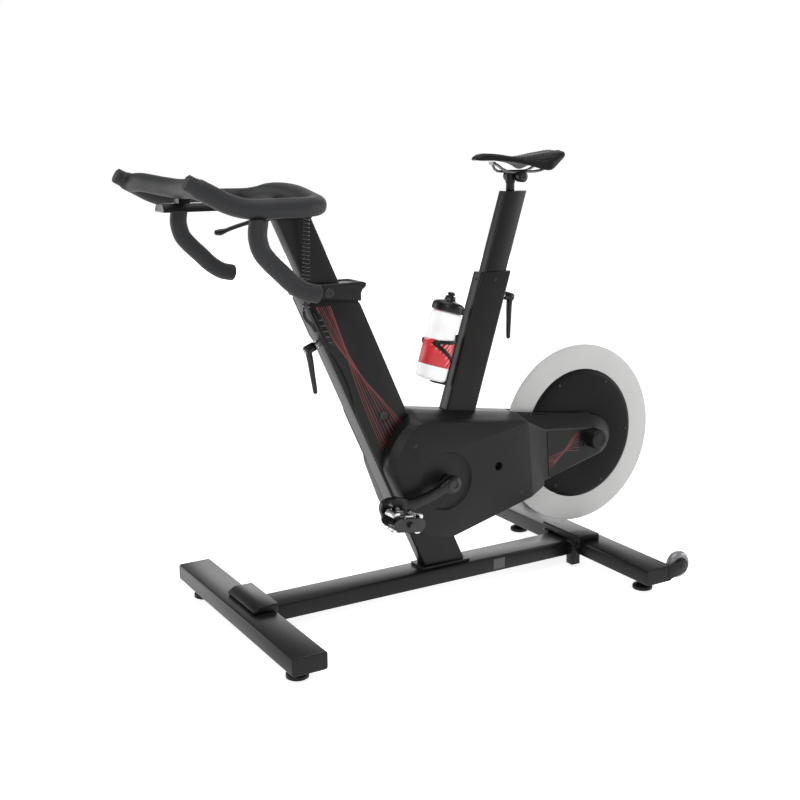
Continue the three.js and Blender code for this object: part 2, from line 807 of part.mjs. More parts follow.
function buildSeat() {
  piece(model, 'seat_tube', 'frame_black', seatTube());
  piece(model, 'seat_collar', 'cap_black', seatCollar());
  piece(model, 'seat_post', 'frame_black', seatPost());
  piece(model, 'saddle_stem', 'cap_black', saddleStem());
  piece(model, 'saddle_clamp', 'cap_black', saddleClamp());
  piece(model, 'saddle_rails', 'magnet_grey', saddleRails());
  piece(model, 'saddle', 'saddle_black', saddlePad());

  const leverZ = 716;
  const leverPlace = group(model, seatX(leverZ) - SEAT.depth / 2 - GAP, 0, leverZ);
  leverPlace.rotation.set(0, Math.atan(SEAT.slope), 0);
  const lever = piece(leverPlace, 'seat_clamp_lever', 'lever_black', clampLever());
  lever.rotation.z = Math.PI;
}

// ---------------------------------------------------------------- covers
const topInner = (x) => 467 - 0.143 * (523 - x);
const topOuter = (x) => 445 - 0.1202 * (508 - x);

// Outline of the cover's main body at a distance y from the middle, corner by corner, inset by the wall.
function mainSection(y, inset) {
  const share = THREE.MathUtils.clamp((y - 22) / (COVER_FACE - 22), 0, 1);
  const taper = THREE.MathUtils.clamp((y - POD_FACE) / (COVER_FACE - POD_FACE), 0, 1);
  const mix = (a, b) => a + (b - a) * share;
  const rear = 150 + 65 * taper;
  const rearTop = y > 22 ? 377 + (topOuter(215) - 377) * taper : topInner(150);
  const corners = [
    [rear - 18 * taper, 232 - 0.3 * (rear - 18 * taper - 150)],
    [rear, rearTop],
    [rear + 6 + 62 * (1 - taper), mix(topInner(218), topOuter(218))],
    [mix(520, 533) - 16 * taper, mix(467, 446) - 2 * taper],
    [mix(568, 576) - 14 * taper, mix(428, 414) - 9 * taper],
    [mix(611, 605) - 14 * taper, mix(362, 350) - 5 * taper],
    [553, 236],
    [532, 194],
    [498, 169],
    [430, 157],
  ];
  const middleX = 380;
  const middleZ = 300;
  return corners.map(([x, z]) => {
    const inwardX = (middleX - x) / 190;
    const inwardZ = (middleZ - z) / 120;
    return vector(x + inset * inwardX, y, z + inset * THREE.MathUtils.clamp(inwardZ, -1.1, 1.1));
  });
}

// Outline of the pod beside the flywheel, from the inner wall to the bevelled face.
function podSection(share, y, inset) {
  const inner = [
    [190, 222],
    [190, 419],
    [-20, 390],
    [-57, 376],
    [-84, 354],
    [-92, 325],
    [-84, 300],
    [-65, 281],
    [22, 260],
  ];
  const outer = [
    [190, 235],
    [190, 381],
    [-5, 362],
    [-20, 358],
    [-33, 349],
    [-39, 332],
    [-39, 314],
    [-33, 298],
    [50, 274],
  ];
  const middleX = 60;
  const middleZ = 325;
  const corners = inner.map(([x, z], i) => {
    const at = [x + (outer[i][0] - x) * share, z + (outer[i][1] - z) * share];
    const away = Math.hypot(at[0] - middleX, at[1] - middleZ);
    const pull = inset / away;
    return vector(at[0] + (middleX - at[0]) * pull, y, at[1] + (middleZ - at[1]) * pull * 1.5);
  });
  return corners.reverse();
}

function coverShape(inset, yStart, wall) {
  const faceY = COVER_FACE - wall;
  const main = loft([
    mainSection(yStart, inset),
    mainSection(22, inset),
    mainSection(22.5, inset),
    mainSection(POD_FACE - wall, inset),
    mainSection(faceY, inset),
  ]);
  const pod = loft([
    podSection(0, POD_INNER + wall, inset),
    podSection(0, POD_INNER + wall + 3, inset),
    podSection(1, POD_FACE - wall, inset),
  ]);
  return join(main, pod);
}

function sideCover() {
  const recess = shellRod(70, COVER_FACE - 6, COVER_FACE + 5);
  const recessFloor = shellRod(73, COVER_FACE - 9, COVER_FACE + 5);
  const hollow = cut(coverShape(COVER_WALL, -5, COVER_WALL), recessFloor);
  const flywheelRoom = rod(FLYWHEEL.radius + 6, -30, POD_INNER, 'y', 48).translate(0, 0, AXLE_Z);
  const outerClearance = 4;
  return cut(
    coverShape(0, GAP, 0),
    hollow,
    recess,
    shellRod(16, 40, 90),
    rod(9, 60, 90, 'y', 16).translate(301, 0, 310),
    rod(20, 10, 40, 'y', 20).translate(0, 0, AXLE_Z),
    flywheelRoom,
    mastBlock(MAST.depth + 1.5, MAST.width + 7 + 2 * GAP, 100, 480, 1),
    mastBlock(MAST_FOOT.depth + outerClearance, MAST_FOOT.width + outerClearance, 80, 200, 1),
    seatBlock(SEAT.depth + 1, SEAT.width + 1, 300, 500),
    box(-20, 160, -5, POD_INNER - 0.5, 180, 440),
  );
}

function hubCap() {
  const face = POD_FACE + GAP;
  const profile = [
    [0, face],
    [25, face],
    [25, face + 7],
    [24, face + 29],
    [21, face + 32],
    [0, face + 32],
  ];
  return turned(profile, 'y', 24);
}

function buildCovers() {
  const cover = sideCover();
  for (const [name, side] of SIDES) {
    piece(model, `${name}_cover`, 'cover_black', sided(cover, side));
    piece(group(model, 0, 0, AXLE_Z), `${name}_hub_cap`, 'cap_black', sided(hubCap(), side));
  }
}

// ---------------------------------------------------------------- drive
// Plate with a round end at each of two places, each with its own radius.
function armPlate(start, startRadius, end, endRadius) {
  const angle = Math.atan2(end[1] - start[1], end[0] - start[0]);
  const shape = new THREE.Shape();
  shape.absarc(end[0], end[1], endRadius, angle - Math.PI / 2, angle + Math.PI / 2);
  shape.absarc(start[0], start[1], startRadius, angle + Math.PI / 2, angle + 1.5 * Math.PI);
  return shape;
}

function frameArms() {
  const axle = rod(FLYWHEEL.axle + GAP, -70, 70, 'y', 20).translate(0, 0, AXLE_Z);
  const leftPlate = alongY(armPlate([0, AXLE_Z], 18, [505, 291], 34), 30.4, 36.4, 0, 3);
  const left = cut(leftPlate, axle, shellRod(SHELL_RADIUS + GAP, 20, 50));
  const foot = [470, 190];
  const rightPlate = alongY(armPlate([0, AXLE_Z], 18, foot, 18), -56.4, -50.4, 0, 3);
  const standOff = rod(12, -52, -30.4, 'y', 16).translate(foot[0], 0, foot[1]);
  return [left, cut(join(rightPlate, standOff), axle)];
}

function beltPoints(bigRadius, smallRadius) {
  const run = Math.hypot(CRANK.x, CRANK.z - AXLE_Z);
  const heading = Math.atan2(CRANK.z - AXLE_Z, CRANK.x);
  const spread = Math.acos((bigRadius - smallRadius) / run);
  const points = [];
  const steps = 16;
  for (let i = 0; i <= steps; i += 1) {
    const angle = heading - (Math.PI - spread) + (2 * (Math.PI - spread) * i) / steps;
    points.push([CRANK.x + bigRadius * Math.cos(angle), CRANK.z + bigRadius * Math.sin(angle)]);
  }
  for (let i = 0; i <= steps / 2; i += 1) {
    const angle = heading + (Math.PI - spread) + (2 * spread * i) / (steps / 2);
    points.push([smallRadius * Math.cos(angle), AXLE_Z + smallRadius * Math.sin(angle)]);
  }
  return points;
}

function driveBelt() {
  const clear = 1.2;
  const outside = outline(beltPoints(PULLEY.big + clear + PULLEY.belt, PULLEY.small + clear + PULLEY.belt));
  outside.holes.push(outline(beltPoints(PULLEY.big + clear, PULLEY.small + clear)));
  return alongY(outside, PULLEY.outer + 0.5, PULLEY.inner - 0.5);
}

// Crank arm from the spindle to a broad end with a row of pedal holes, and the pedal's spindle.
function crankArm() {
  const lobe = CRANK.length - 6;
  const shape = new THREE.Shape();
  shape.absarc(0, 0, 20, 0.5 * Math.PI + 0.25, 1.5 * Math.PI - 0.1);
  shape.lineTo(100, -13);
  shape.quadraticCurveTo(125, -14, 140, -17);
  shape.absarc(lobe, 2, 21, -0.7 * Math.PI, 0.7 * Math.PI);
  shape.quadraticCurveTo(128, 12, 100, 12);
  shape.lineTo(40, 15);
  const blade = alongY(shape, 95, CRANK.face, 2, 4);
  return cut(
    join(
      blade,
      rod(18, CRANK.inner, 97, 'y', 24),
      rod(7, CRANK.face - 2, 196, 'y', 16).translate(CRANK.length, 0, 0),
    ),
    rod(SPINDLE_RADIUS + GAP, 70, 104 + GAP, 'y', 24),
  );
}

// Clip pedal: cage body round the spindle with a sprung cleat plate above and below.
function clipPedal() {
  const inner = CRANK.face + 8;
  const outer = inner + 66;
  const side = outline([
    [-36, -9],
    [-26, -15],
    [20, -15],
    [38, -7],
    [38, 6],
    [26, 13],
    [-22, 13],
    [-36, 8],
  ]);
  const cleat = outline([
    [-30, 13],
    [-34, 20],
    [-24, 23],
    [-16, 17],
    [8, 17],
    [16, 22],
    [27, 19],
    [24, 12],
  ]);
  const cleatBelow = outline([
    [-24, -14],
    [-27, -20],
    [-16, -22],
    [-8, -18],
    [14, -18],
    [24, -22],
    [30, -18],
    [28, -10],
  ]);
  const cleats = [cleat, cleatBelow].map((shape) => alongY(shape, inner + 17, outer - 14, 1));
  return cut(join(alongY(side, inner, outer, 3), ...cleats), rod(7 + RUNNING, 100, 220, 'y', 16));
}

function bigPulley() {
  const { inner, outer, big } = PULLEY;
  const bore = SPINDLE_RADIUS + GAP;
  const web = (inner + outer) / 2;
  const profile = ringProfile([
    [bore, web - 3],
    [big - 9, web - 3],
    [big - 9, outer],
    [big, outer],
    [big, inner],
    [big - 9, inner],
    [big - 9, web + 3],
    [bore, web + 3],
  ]);
  return turned(profile, 'y', 32);
}

function smallPulley() {
  const { inner, outer, small } = PULLEY;
  const bore = FLYWHEEL.axle + RUNNING;
  const hub = -FLYWHEEL.discHalf - GAP;
  const profile = ringProfile([
    [bore, outer - 1],
    [small, outer - 1],
    [small, inner],
    [16, inner],
    [16, hub],
    [bore, hub],
  ]);
  return turned(profile, 'y', 20);
}

function flywheelRing() {
  const { radius, discRadius, ringHalf } = FLYWHEEL;
  const bore = discRadius + GAP;
  const profile = ringProfile([
    [bore, -ringHalf],
    [radius - 2, -ringHalf],
    [radius, -ringHalf + 2],
    [radius, ringHalf - 2],
    [radius - 2, ringHalf],
    [bore, ringHalf],
  ]);
  return turned(profile, 'y', 48);
}

function flywheelDisc() {
  const { discRadius, ringHalf, discHalf, axle } = FLYWHEEL;
  const bore = axle + RUNNING;
  const profile = ringProfile([
    [bore, -discHalf],
    [discRadius - 9, -discHalf],
    [discRadius, -ringHalf],
    [discRadius, ringHalf],
    [discRadius - 9, discHalf],
    [bore, discHalf],
  ]);
  return turned(profile, 'y', 48);
}

function brakeMagnets() {
  const rim = FLYWHEEL.radius;
  const gap = FLYWHEEL.ringHalf + 2;
  return join(
    box(rim - 52, rim + 20, gap, gap + 7, -30, 30),
    box(rim - 52, rim + 20, -gap - 7, -gap, -30, 30),
    box(rim + 8, rim + 20, -gap - 3, gap + 3, -30, 30),
    rod(4, rim + 18, rim + 60, 'x', 12),
  );
}

function brakeMotor() {
  const rim = FLYWHEEL.radius;
  return cut(box(rim + 48, rim + 92, -18, 30.1, -20, 20), rod(4 + RUNNING, rim + 40, rim + 100, 'x', 12));
}

function buildDrive() {
  const flywheel = group(model, 0, 0, AXLE_Z);
  piece(flywheel, 'flywheel_ring', 'flywheel_grey', flywheelRing());
  piece(flywheel, 'flywheel_disc', 'disc_black', flywheelDisc());
  piece(flywheel, 'flywheel_pulley', 'magnet_grey', smallPulley());
  piece(flywheel, 'flywheel_axle', 'bright_steel', rod(FLYWHEEL.axle, -56.6, 56.6, 'y', 20));

  const brake = group(flywheel);
  brake.rotation.y = THREE.MathUtils.degToRad(10);
  piece(brake, 'brake_magnets', 'magnet_grey', brakeMagnets());
  piece(brake, 'brake_motor', 'motor_white', brakeMotor());

  const [leftArm, rightArm] = frameArms();
  piece(model, 'left_frame_arm', 'frame_black', leftArm);
  piece(model, 'right_frame_arm', 'frame_black', rightArm);
  piece(model, 'drive_belt', 'rubber_black', driveBelt());

  const axis = group(model, CRANK.x, 0, CRANK.z);
  const shell = cut(rod(SHELL_RADIUS, -33, 58, 'y', 24), rod(SPINDLE_RADIUS + RUNNING, -60, 80, 'y', 24));
  piece(axis, 'bottom_bracket_shell', 'frame_black', shell);
  piece(axis, 'crank_spindle', 'bright_steel', rod(SPINDLE_RADIUS, -104, 104, 'y', 24));
  piece(axis, 'drive_pulley', 'magnet_grey', bigPulley());

  const arm = crankArm();
  const pedal = clipPedal();
  for (const [name, side] of SIDES) {
    const turn = group(axis);
    const forward = side > 0 ? 0 : Math.PI;
    turn.rotation.y = forward - THREE.MathUtils.degToRad(CRANK.angle);
    piece(turn, `${name}_crank`, 'lever_black', sided(arm, side));
    const end = group(turn, CRANK.length, 0, 0);
    end.rotation.y = -turn.rotation.y - THREE.MathUtils.degToRad(-8);
    piece(end, `${name}_pedal`, 'magnet_grey', sided(pedal, side));
  }
}

// ---------------------------------------------------------------- bottle and cage, on the seat tube's lean
function bottleCage() {
  const inner = BOTTLE.radius + 1;
  const hoopProfile = [
    [inner, 88],
    [inner + 3, 88],
    [inner + 3, 104],
    [inner, 104],
  ];
  const frontGap = box(6, 60, -14, 14, 80, 110);
  const spine = box(-inner - 5, -inner, -8, 8, -4, 118);
  const ring = cut(turned(ringProfile(hoopProfile), 'z', 20), frontGap);
  const tongue = box(-inner - 5, -8, -9, 9, -5, -GAP);
  return join(ring, tongue, spine);
}

function bottleBody() {
  const r = BOTTLE.radius;
  const neck = r - 9;
  const profile = [
    [0, 0],
    [r - 6, 0],
    [r, 5],
    [r, 100],
    [r - 4, 113],
    [r - 4, 119],
    [r, 129],
    [r, 158],
    [r - 6, 165],
    [neck, 165],
    [neck, 176],
    [0, 176],
  ];
  return turned(profile, 'z', 20);
}

function bottleLid() {
  const r = BOTTLE.radius;
  return turned(
    ringProfile([
      [r - 8 + GAP, 165 + GAP],
      [r + 0.5, 165 + GAP],
      [r + 0.5, 184],
      [r - 6, 189],
      [14, 192],
      [12, 204],
      [6 + RUNNING, 204],
      [6 + RUNNING, 177],
      [r - 8 + GAP, 177],
    ]),
    'z',
    20,
  );
}

function bottleSpout() {
  const profile = [
    [0, 178],
    [6, 178],
    [6, 205],
    [9, 206],
    [9, 213],
    [7, 216],
    [0, 216],
  ];
  return turned(profile, 'z', 16);
}

function buildBottle() {
  const stand = group(model, BOTTLE.x, 0, BOTTLE.z);
  stand.rotation.y = THREE.MathUtils.degToRad(BOTTLE.lean);
  piece(stand, 'bottle_cage', 'lever_black', bottleCage());
  piece(stand, 'bottle_body', 'bottle_white', bottleBody());
  piece(stand, 'bottle_lid', 'lever_black', bottleLid());
  piece(stand, 'bottle_spout', 'lever_black', bottleSpout());
}

// ---------------------------------------------------------------- the whole bike
buildFloorFrame();
buildMast();
buildHandlebar();
buildSeat();
buildCovers();
buildDrive();
buildBottle();

// The frame's origin is on the floor, under the middle of the bounding box.
model.updateMatrixWorld(true);
const bounds = new THREE.Box3().setFromObject(model, true);
const middle = bounds.getCenter(vector(0, 0, 0));
model.position.set(-middle.x, -middle.y, -bounds.min.z);

export default model;
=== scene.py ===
import json
import math

import bmesh
import bpy
from mathutils import Matrix, Vector

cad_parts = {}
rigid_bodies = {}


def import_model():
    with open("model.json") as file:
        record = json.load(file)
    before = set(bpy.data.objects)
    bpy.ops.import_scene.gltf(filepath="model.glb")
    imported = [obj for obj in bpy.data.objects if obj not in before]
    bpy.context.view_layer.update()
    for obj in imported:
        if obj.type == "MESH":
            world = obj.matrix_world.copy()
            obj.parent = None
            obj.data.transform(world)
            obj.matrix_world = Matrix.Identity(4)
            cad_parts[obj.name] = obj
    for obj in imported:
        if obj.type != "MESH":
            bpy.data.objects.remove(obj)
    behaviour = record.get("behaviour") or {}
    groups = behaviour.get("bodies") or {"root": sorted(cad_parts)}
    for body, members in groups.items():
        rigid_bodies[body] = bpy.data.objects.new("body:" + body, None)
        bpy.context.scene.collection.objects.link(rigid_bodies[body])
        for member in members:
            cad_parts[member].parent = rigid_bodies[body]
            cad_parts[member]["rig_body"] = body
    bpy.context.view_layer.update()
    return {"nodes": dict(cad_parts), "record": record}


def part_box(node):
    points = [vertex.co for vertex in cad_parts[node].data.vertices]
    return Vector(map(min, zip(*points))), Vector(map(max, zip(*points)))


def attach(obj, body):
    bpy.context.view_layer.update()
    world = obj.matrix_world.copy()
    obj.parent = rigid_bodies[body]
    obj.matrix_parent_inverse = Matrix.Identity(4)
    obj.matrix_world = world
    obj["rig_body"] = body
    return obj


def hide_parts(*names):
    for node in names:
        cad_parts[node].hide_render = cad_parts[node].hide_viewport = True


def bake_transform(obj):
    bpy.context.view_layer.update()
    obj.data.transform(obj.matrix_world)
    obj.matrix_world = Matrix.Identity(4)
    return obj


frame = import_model()
NODES = frame["nodes"]
SLOTS = {part["node"]: part["material_slot"] for part in frame["record"]["subparts"]}

# ---------------- places
# at() takes millimetres measured from the flywheel's axle (x), the middle plane (y) and the floor (z).
RING_LOW, RING_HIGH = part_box("flywheel_ring")
AXLE_X = (RING_LOW.x + RING_HIGH.x) / 2
AXLE_Z = (RING_LOW.z + RING_HIGH.z) * 500
MM = 0.001


def at(x, y, z):
    return Vector((AXLE_X + x * MM, y * MM, z * MM))


MAST_LEAN = 0.457
SEAT_LEAN = -0.3043
MAST_FOOT = (415, 67.7)
SEAT_SPOT = (272, 771.5)
MAST_DEPTH = 131.9
SEAT_DEPTH = 86.3
SIDES = (("left", 1), ("right", -1))


def placer(spot, turn):
    """A place function for millimetres measured from spot in a turned frame."""
    return lambda x, y, z: spot + turn @ Vector((x, y, z)) * MM


def mast_x(z):
    return MAST_FOOT[0] + MAST_LEAN * (z - MAST_FOOT[1])


def seat_x(z):
    return SEAT_SPOT[0] + SEAT_LEAN * (z - SEAT_SPOT[1])


# ---------------- camera
EYE = at(1943.1, 2417.0, 1115.7)
TURN, DIP = 0.555, 0.155
LOOK = Vector((-math.sin(TURN) * math.cos(DIP), -math.cos(TURN) * math.cos(DIP), -math.sin(DIP)))
ACROSS = Vector((-math.cos(TURN), math.sin(TURN), 0))
camera_data = bpy.data.cameras.new("camera")
camera_data.lens = 54.93
camera_data.shift_x, camera_data.shift_y = -0.0393, -0.1013
camera = bpy.data.objects.new("camera", camera_data)
bpy.context.scene.collection.objects.link(camera)
facing = Matrix((ACROSS, ACROSS.cross(LOOK), -LOOK)).transposed().to_4x4()
camera.matrix_world = Matrix.Translation(EYE) @ facing
bpy.context.scene.camera = camera
bpy.context.scene.view_settings.view_transform = "Standard"


# ---------------- materials
def node(tree, kind, **values):
    """A new node with its properties or its inputs set by name."""
    made = tree.nodes.new(kind)
    for key, value in values.items():
        if hasattr(made, key):
            setattr(made, key, value)
        else:
            made.inputs[key].default_value = value
    return made


GLOSS_DRIFT = 0.06


def shade(name, colour, roughness, metallic=0.0, grain=700, bump=0.08, vary=0.12, blotch=14, **more):
    """A principled material with fine bump, a slow colour drift and a roughness that drifts with it."""
    made = bpy.data.materials.new(name)
    made.use_nodes = True
    tree = made.node_tree
    shader = tree.nodes["Principled BSDF"]
    shader.inputs["Metallic"].default_value = metallic
    for key, value in more.items():
        shader.inputs["Specular IOR Level" if key == "shine" else key.replace("_", " ")].default_value = value
    place = node(tree, "ShaderNodeTexCoord")
    slow = node(tree, "ShaderNodeTexNoise", Scale=blotch, Detail=4.0, Roughness=0.6)
    fine = node(tree, "ShaderNodeTexNoise", Scale=grain, Detail=3.0, Roughness=0.55)
    for texture in (slow, fine):
        tree.links.new(place.outputs["Object"], texture.inputs["Vector"])
    ramp = node(tree, "ShaderNodeValToRGB")
    dark, light = ramp.color_ramp.elements
    dark.position, light.position = 0.3, 0.7
    dark.color = (*[c * (1 - vary) for c in colour], 1)
    light.color = (*[min(c * (1 + vary), 1) for c in colour], 1)
    tree.links.new(slow.outputs["Fac"], ramp.inputs["Fac"])
    tree.links.new(ramp.outputs["Color"], shader.inputs["Base Color"])
    gloss = node(tree, "ShaderNodeMapRange")
    gloss.inputs["To Min"].default_value = max(roughness - GLOSS_DRIFT, 0.02)
    gloss.inputs["To Max"].default_value = min(roughness + GLOSS_DRIFT, 1)
    tree.links.new(fine.outputs["Fac"], gloss.inputs["Value"])
    tree.links.new(gloss.outputs["Result"], shader.inputs["Roughness"])
    relief = node(tree, "ShaderNodeBump", Strength=bump, Distance=0.0006)
    tree.links.new(fine.outputs["Fac"], relief.inputs["Height"])
    tree.links.new(relief.outputs["Normal"], shader.inputs["Normal"])
    return made


# Sockets of a colour Mix node, which share their names with its float and vector ones.
MIX_FACTOR, MIX_FIRST, MIX_SECOND, MIX_RESULT = 0, 6, 7, 2


def streaks(made, colour, scale, width, turn, stretch):
    """Adds slanting lines of another colour, in patches, over a material made by shade()."""
    tree = made.node_tree
    shader = tree.nodes["Principled BSDF"]
    base = shader.inputs["Base Color"].links[0].from_socket
    place = node(tree, "ShaderNodeTexCoord")
    mapping = node(tree, "ShaderNodeMapping")
    mapping.inputs["Rotation"].default_value = (0, turn, 0)
    mapping.inputs["Scale"].default_value = (1, 0, stretch)
    wave = node(tree, "ShaderNodeTexWave", Scale=scale, Distortion=14.0, Detail=1.5)
    wave.inputs["Detail Scale"].default_value = 0.35
    wave.inputs["Detail Roughness"].default_value = 0.4
    edge = node(tree, "ShaderNodeValToRGB")
    edge.color_ramp.elements[0].position = 1 - width
    edge.color_ramp.elements[1].position = 1 - width * 0.35
    patch = node(tree, "ShaderNodeTexNoise", Scale=9.0, Detail=1.0)
    where = node(tree, "ShaderNodeValToRGB")
    where.color_ramp.elements[0].position = 0.42
    where.color_ramp.elements[1].position = 0.56
    both = node(tree, "ShaderNodeMath", operation="MULTIPLY")
    mix = node(tree, "ShaderNodeMix", data_type="RGBA")
    links = tree.links
    links.new(place.outputs["Object"], mapping.inputs["Vector"])
    links.new(mapping.outputs["Vector"], wave.inputs["Vector"])
    links.new(mapping.outputs["Vector"], patch.inputs["Vector"])
    links.new(wave.outputs["Fac"], edge.inputs["Fac"])
    links.new(patch.outputs["Fac"], where.inputs["Fac"])
    links.new(edge.outputs["Color"], both.inputs[0])
    links.new(where.outputs["Color"], both.inputs[1])
    links.new(both.outputs["Value"], mix.inputs[MIX_FACTOR])
    links.new(base, mix.inputs[MIX_FIRST])
    mix.inputs[MIX_SECOND].default_value = (*colour, 1)
    links.new(mix.outputs[MIX_RESULT], shader.inputs["Base Color"])
    return made


FRAME_BLACK = shade("powder_coat", (0.006, 0.0055, 0.0052), 0.36, grain=900, bump=0.1, shine=0.22)
COVER_BLACK = shade("cover_plastic", (0.006, 0.0058, 0.0058), 0.42, grain=1500, bump=0.16, shine=0.22)
CAP_BLACK = shade("cap_plastic", (0.004, 0.004, 0.004), 0.34, grain=1200, bump=0.1, shine=0.22)
FOAM_BLACK = shade("bar_foam", (0.017, 0.0175, 0.019), 0.6, grain=1800, bump=0.3, shine=0.25)
LEVER_BLACK = shade("lever_enamel", (0.004, 0.004, 0.004), 0.3, grain=900, bump=0.05, shine=0.3)
RUBBER_BLACK = shade("black_rubber", (0.005, 0.005, 0.005), 0.5, grain=900, bump=0.2, shine=0.25)
COIL_BLACK = shade("coil_jacket", (0.004, 0.004, 0.004), 0.13, grain=900, bump=0.03, shine=0.7)
SADDLE_BLACK = shade("saddle_cover", (0.007, 0.007, 0.0075), 0.5, grain=650, bump=0.3, shine=0.14)
PANEL_BLACK = shade("panel_print", (0.004, 0.004, 0.0045), 0.34, bump=0.05, shine=0.22)
PRINT_RED = shade("print_red", (0.11, 0.006, 0.01), 0.4, grain=500, bump=0.04, vary=0.35, blotch=30)
RING_GREY = shade("flywheel_paint", (0.42, 0.42, 0.415), 0.5, 0.1, grain=500, bump=0.05, vary=0.03)
DISC_BLACK = shade("disc_paint", (0.004, 0.004, 0.004), 0.5, grain=900, bump=0.15, shine=0.1)
STEEL = shade("bright_steel", (0.6, 0.6, 0.61), 0.25, 1.0, grain=300, bump=0.05, vary=0.08)
DARK_STEEL = shade("dark_steel", (0.16, 0.16, 0.165), 0.35, 1.0, grain=300, bump=0.08)
SCREW_BLACK = shade("black_screw", (0.03, 0.03, 0.032), 0.35, 0.6, grain=500, bump=0.05)
BOTTLE_WHITE = shade("bottle_wall", (0.82, 0.83, 0.83), 0.35, bump=0.04, vary=0.02, Subsurface_Weight=0.15)
BAND_RED = streaks(
    shade("bottle_band", (0.5, 0.015, 0.02), 0.4, bump=0.03, vary=0.05),
    colour=(0.85, 0.84, 0.84), scale=26, width=0.22, turn=0.5, stretch=1.4,
)
WHEEL_SMOKE = shade("wheel_resin", (0.16, 0.16, 0.17), 0.18, grain=300, bump=0.03, Coat_Weight=0.6)
LABEL_GREY = shade("blank_label", (0.05, 0.05, 0.053), 0.35, bump=0.03)
MOTOR_WHITE = shade("motor_case", (0.6, 0.6, 0.58), 0.5)
SLOT_LOOK = {
    "frame_black": FRAME_BLACK, "cover_black": COVER_BLACK, "cap_black": CAP_BLACK,
    "panel_black": PANEL_BLACK, "foam_black": FOAM_BLACK, "lever_black": LEVER_BLACK,
    "lid_black": LEVER_BLACK, "cage_black": CAP_BLACK, "rubber_black": RUBBER_BLACK,
    "wheel_clear": WHEEL_SMOKE, "bright_steel": STEEL, "flywheel_grey": RING_GREY, "disc_black": DISC_BLACK,
    "drive_grey": DARK_STEEL, "pedal_metal": STEEL, "motor_white": MOTOR_WHITE,
    "bottle_white": BOTTLE_WHITE, "saddle_black": SADDLE_BLACK,
}


# ---------------- mesh making
def add(name, bm, look, body, slot, replaces=(), smooth=40):
    """Turns a bmesh into a piece of the object that rides on a body."""
    bmesh.ops.recalc_face_normals(bm, faces=bm.faces)
    mesh = bpy.data.meshes.new(name)
    bm.to_mesh(mesh)
    bm.free()
    mesh.materials.append(look)
    mesh.shade_smooth()
    mesh.set_sharp_from_angle(angle=math.radians(smooth))
    made = bpy.data.objects.new(name, mesh)
    bpy.context.scene.collection.objects.link(made)
    if body:
        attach(made, body)
    if replaces:
        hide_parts(*replaces)
    return made


def remake(name, bm, look, node_name, smooth=40):
    """A piece that replaces a CAD node and keeps its body."""
    return add(name, bm, look, NODES[node_name]["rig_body"], SLOTS[node_name], [node_name], smooth)


def bridge(bm, rings, closed=False):
    """Joins rings of equally many points and closes both ends, or joins the last to the first."""
    made = [[bm.verts.new(p) for p in ring] for ring in rings]
    count = len(made[0])
    pairs = list(zip(made, made[1:] + made[:1] if closed else made[1:]))
    for one, two in pairs[: len(made) if closed else len(made) - 1]:
        for i in range(count):
            j = (i + 1) % count
            bm.faces.new((one[i], one[j], two[j], two[i]))
    if not closed:
        bm.faces.new(made[0])
        bm.faces.new(list(reversed(made[-1])))
    return bm


def lathe(bm, profile, place, axis="y", sides=64):
    """Turns (radius, distance) pairs about an axis through place.

    A profile that starts on the axis gives flat ends; one that starts off it closes on itself.
    """
    turn = {"y": Matrix.Rotation(-math.pi / 2, 4, "X"), "z": Matrix()}
    matrix = Matrix.Translation(place) @ (turn[axis] if isinstance(axis, str) else axis)
    angles = [2 * math.pi * i / sides for i in range(sides)]
    rings = []
    for radius, along in profile:
        if radius:
            spots = [Vector((radius * math.cos(a), radius * math.sin(a), along)) for a in angles]
            rings.append([matrix @ (spot * MM) for spot in spots])
    return bridge(bm, rings, closed=profile[0][0] > 0)


def rounded(points, radius, steps=4):
    """A closed outline with its corners rounded. radius is one size, or a list with one for each corner."""
    made = []
    for i, corner in enumerate(points):
        before, after = Vector(points[i - 1]), Vector(points[(i + 1) % len(points)])
        corner = Vector(corner)
        reach = radius[i] if isinstance(radius, (list, tuple)) else radius
        reach_in = min(reach, (before - corner).length * 0.49)
        reach_out = min(reach, (after - corner).length * 0.49)
        start = corner + (before - corner).normalized() * reach_in
        end = corner + (after - corner).normalized() * reach_out
        for s in range(steps + 1):
            t = s / steps
            made.append(start * (1 - t) ** 2 + corner * 2 * t * (1 - t) + end * t ** 2)
    return made


def prism(bm, outline, low, high, place, edge=1.0):
    """Runs an outline of (x, z) millimetres from y = low to y = high. place maps it to metres.

    The rims of a clockwise outline are rounded; those of the others flare by as much.
    """
    points = [Vector(p) for p in outline]
    following = points[1:] + points[:1]
    clockwise = sum(a.x * b.y - b.x * a.y for a, b in zip(points, following)) < 0
    centre = sum(points, Vector((0, 0))) / len(points)
    rings = []
    for depth, inset in ((0, 1), (0.3, 0.3), (1, 0)):
        rings.append((low + edge * depth, edge * inset))
    rings += [(high - (y - low), inset) for y, inset in reversed(rings)]
    loops = []
    for y, inset in rings:
        loop = []
        for i, point in enumerate(points):
            along = following[i] - points[i - 1]
            normal = Vector((along.y, -along.x)).normalized()
            if clockwise and normal.dot(centre - point) < 0:
                normal = -normal
            moved = point + normal * inset
            loop.append(place(moved.x, y, moved.y))
        loops.append(loop)
    return bridge(bm, loops)


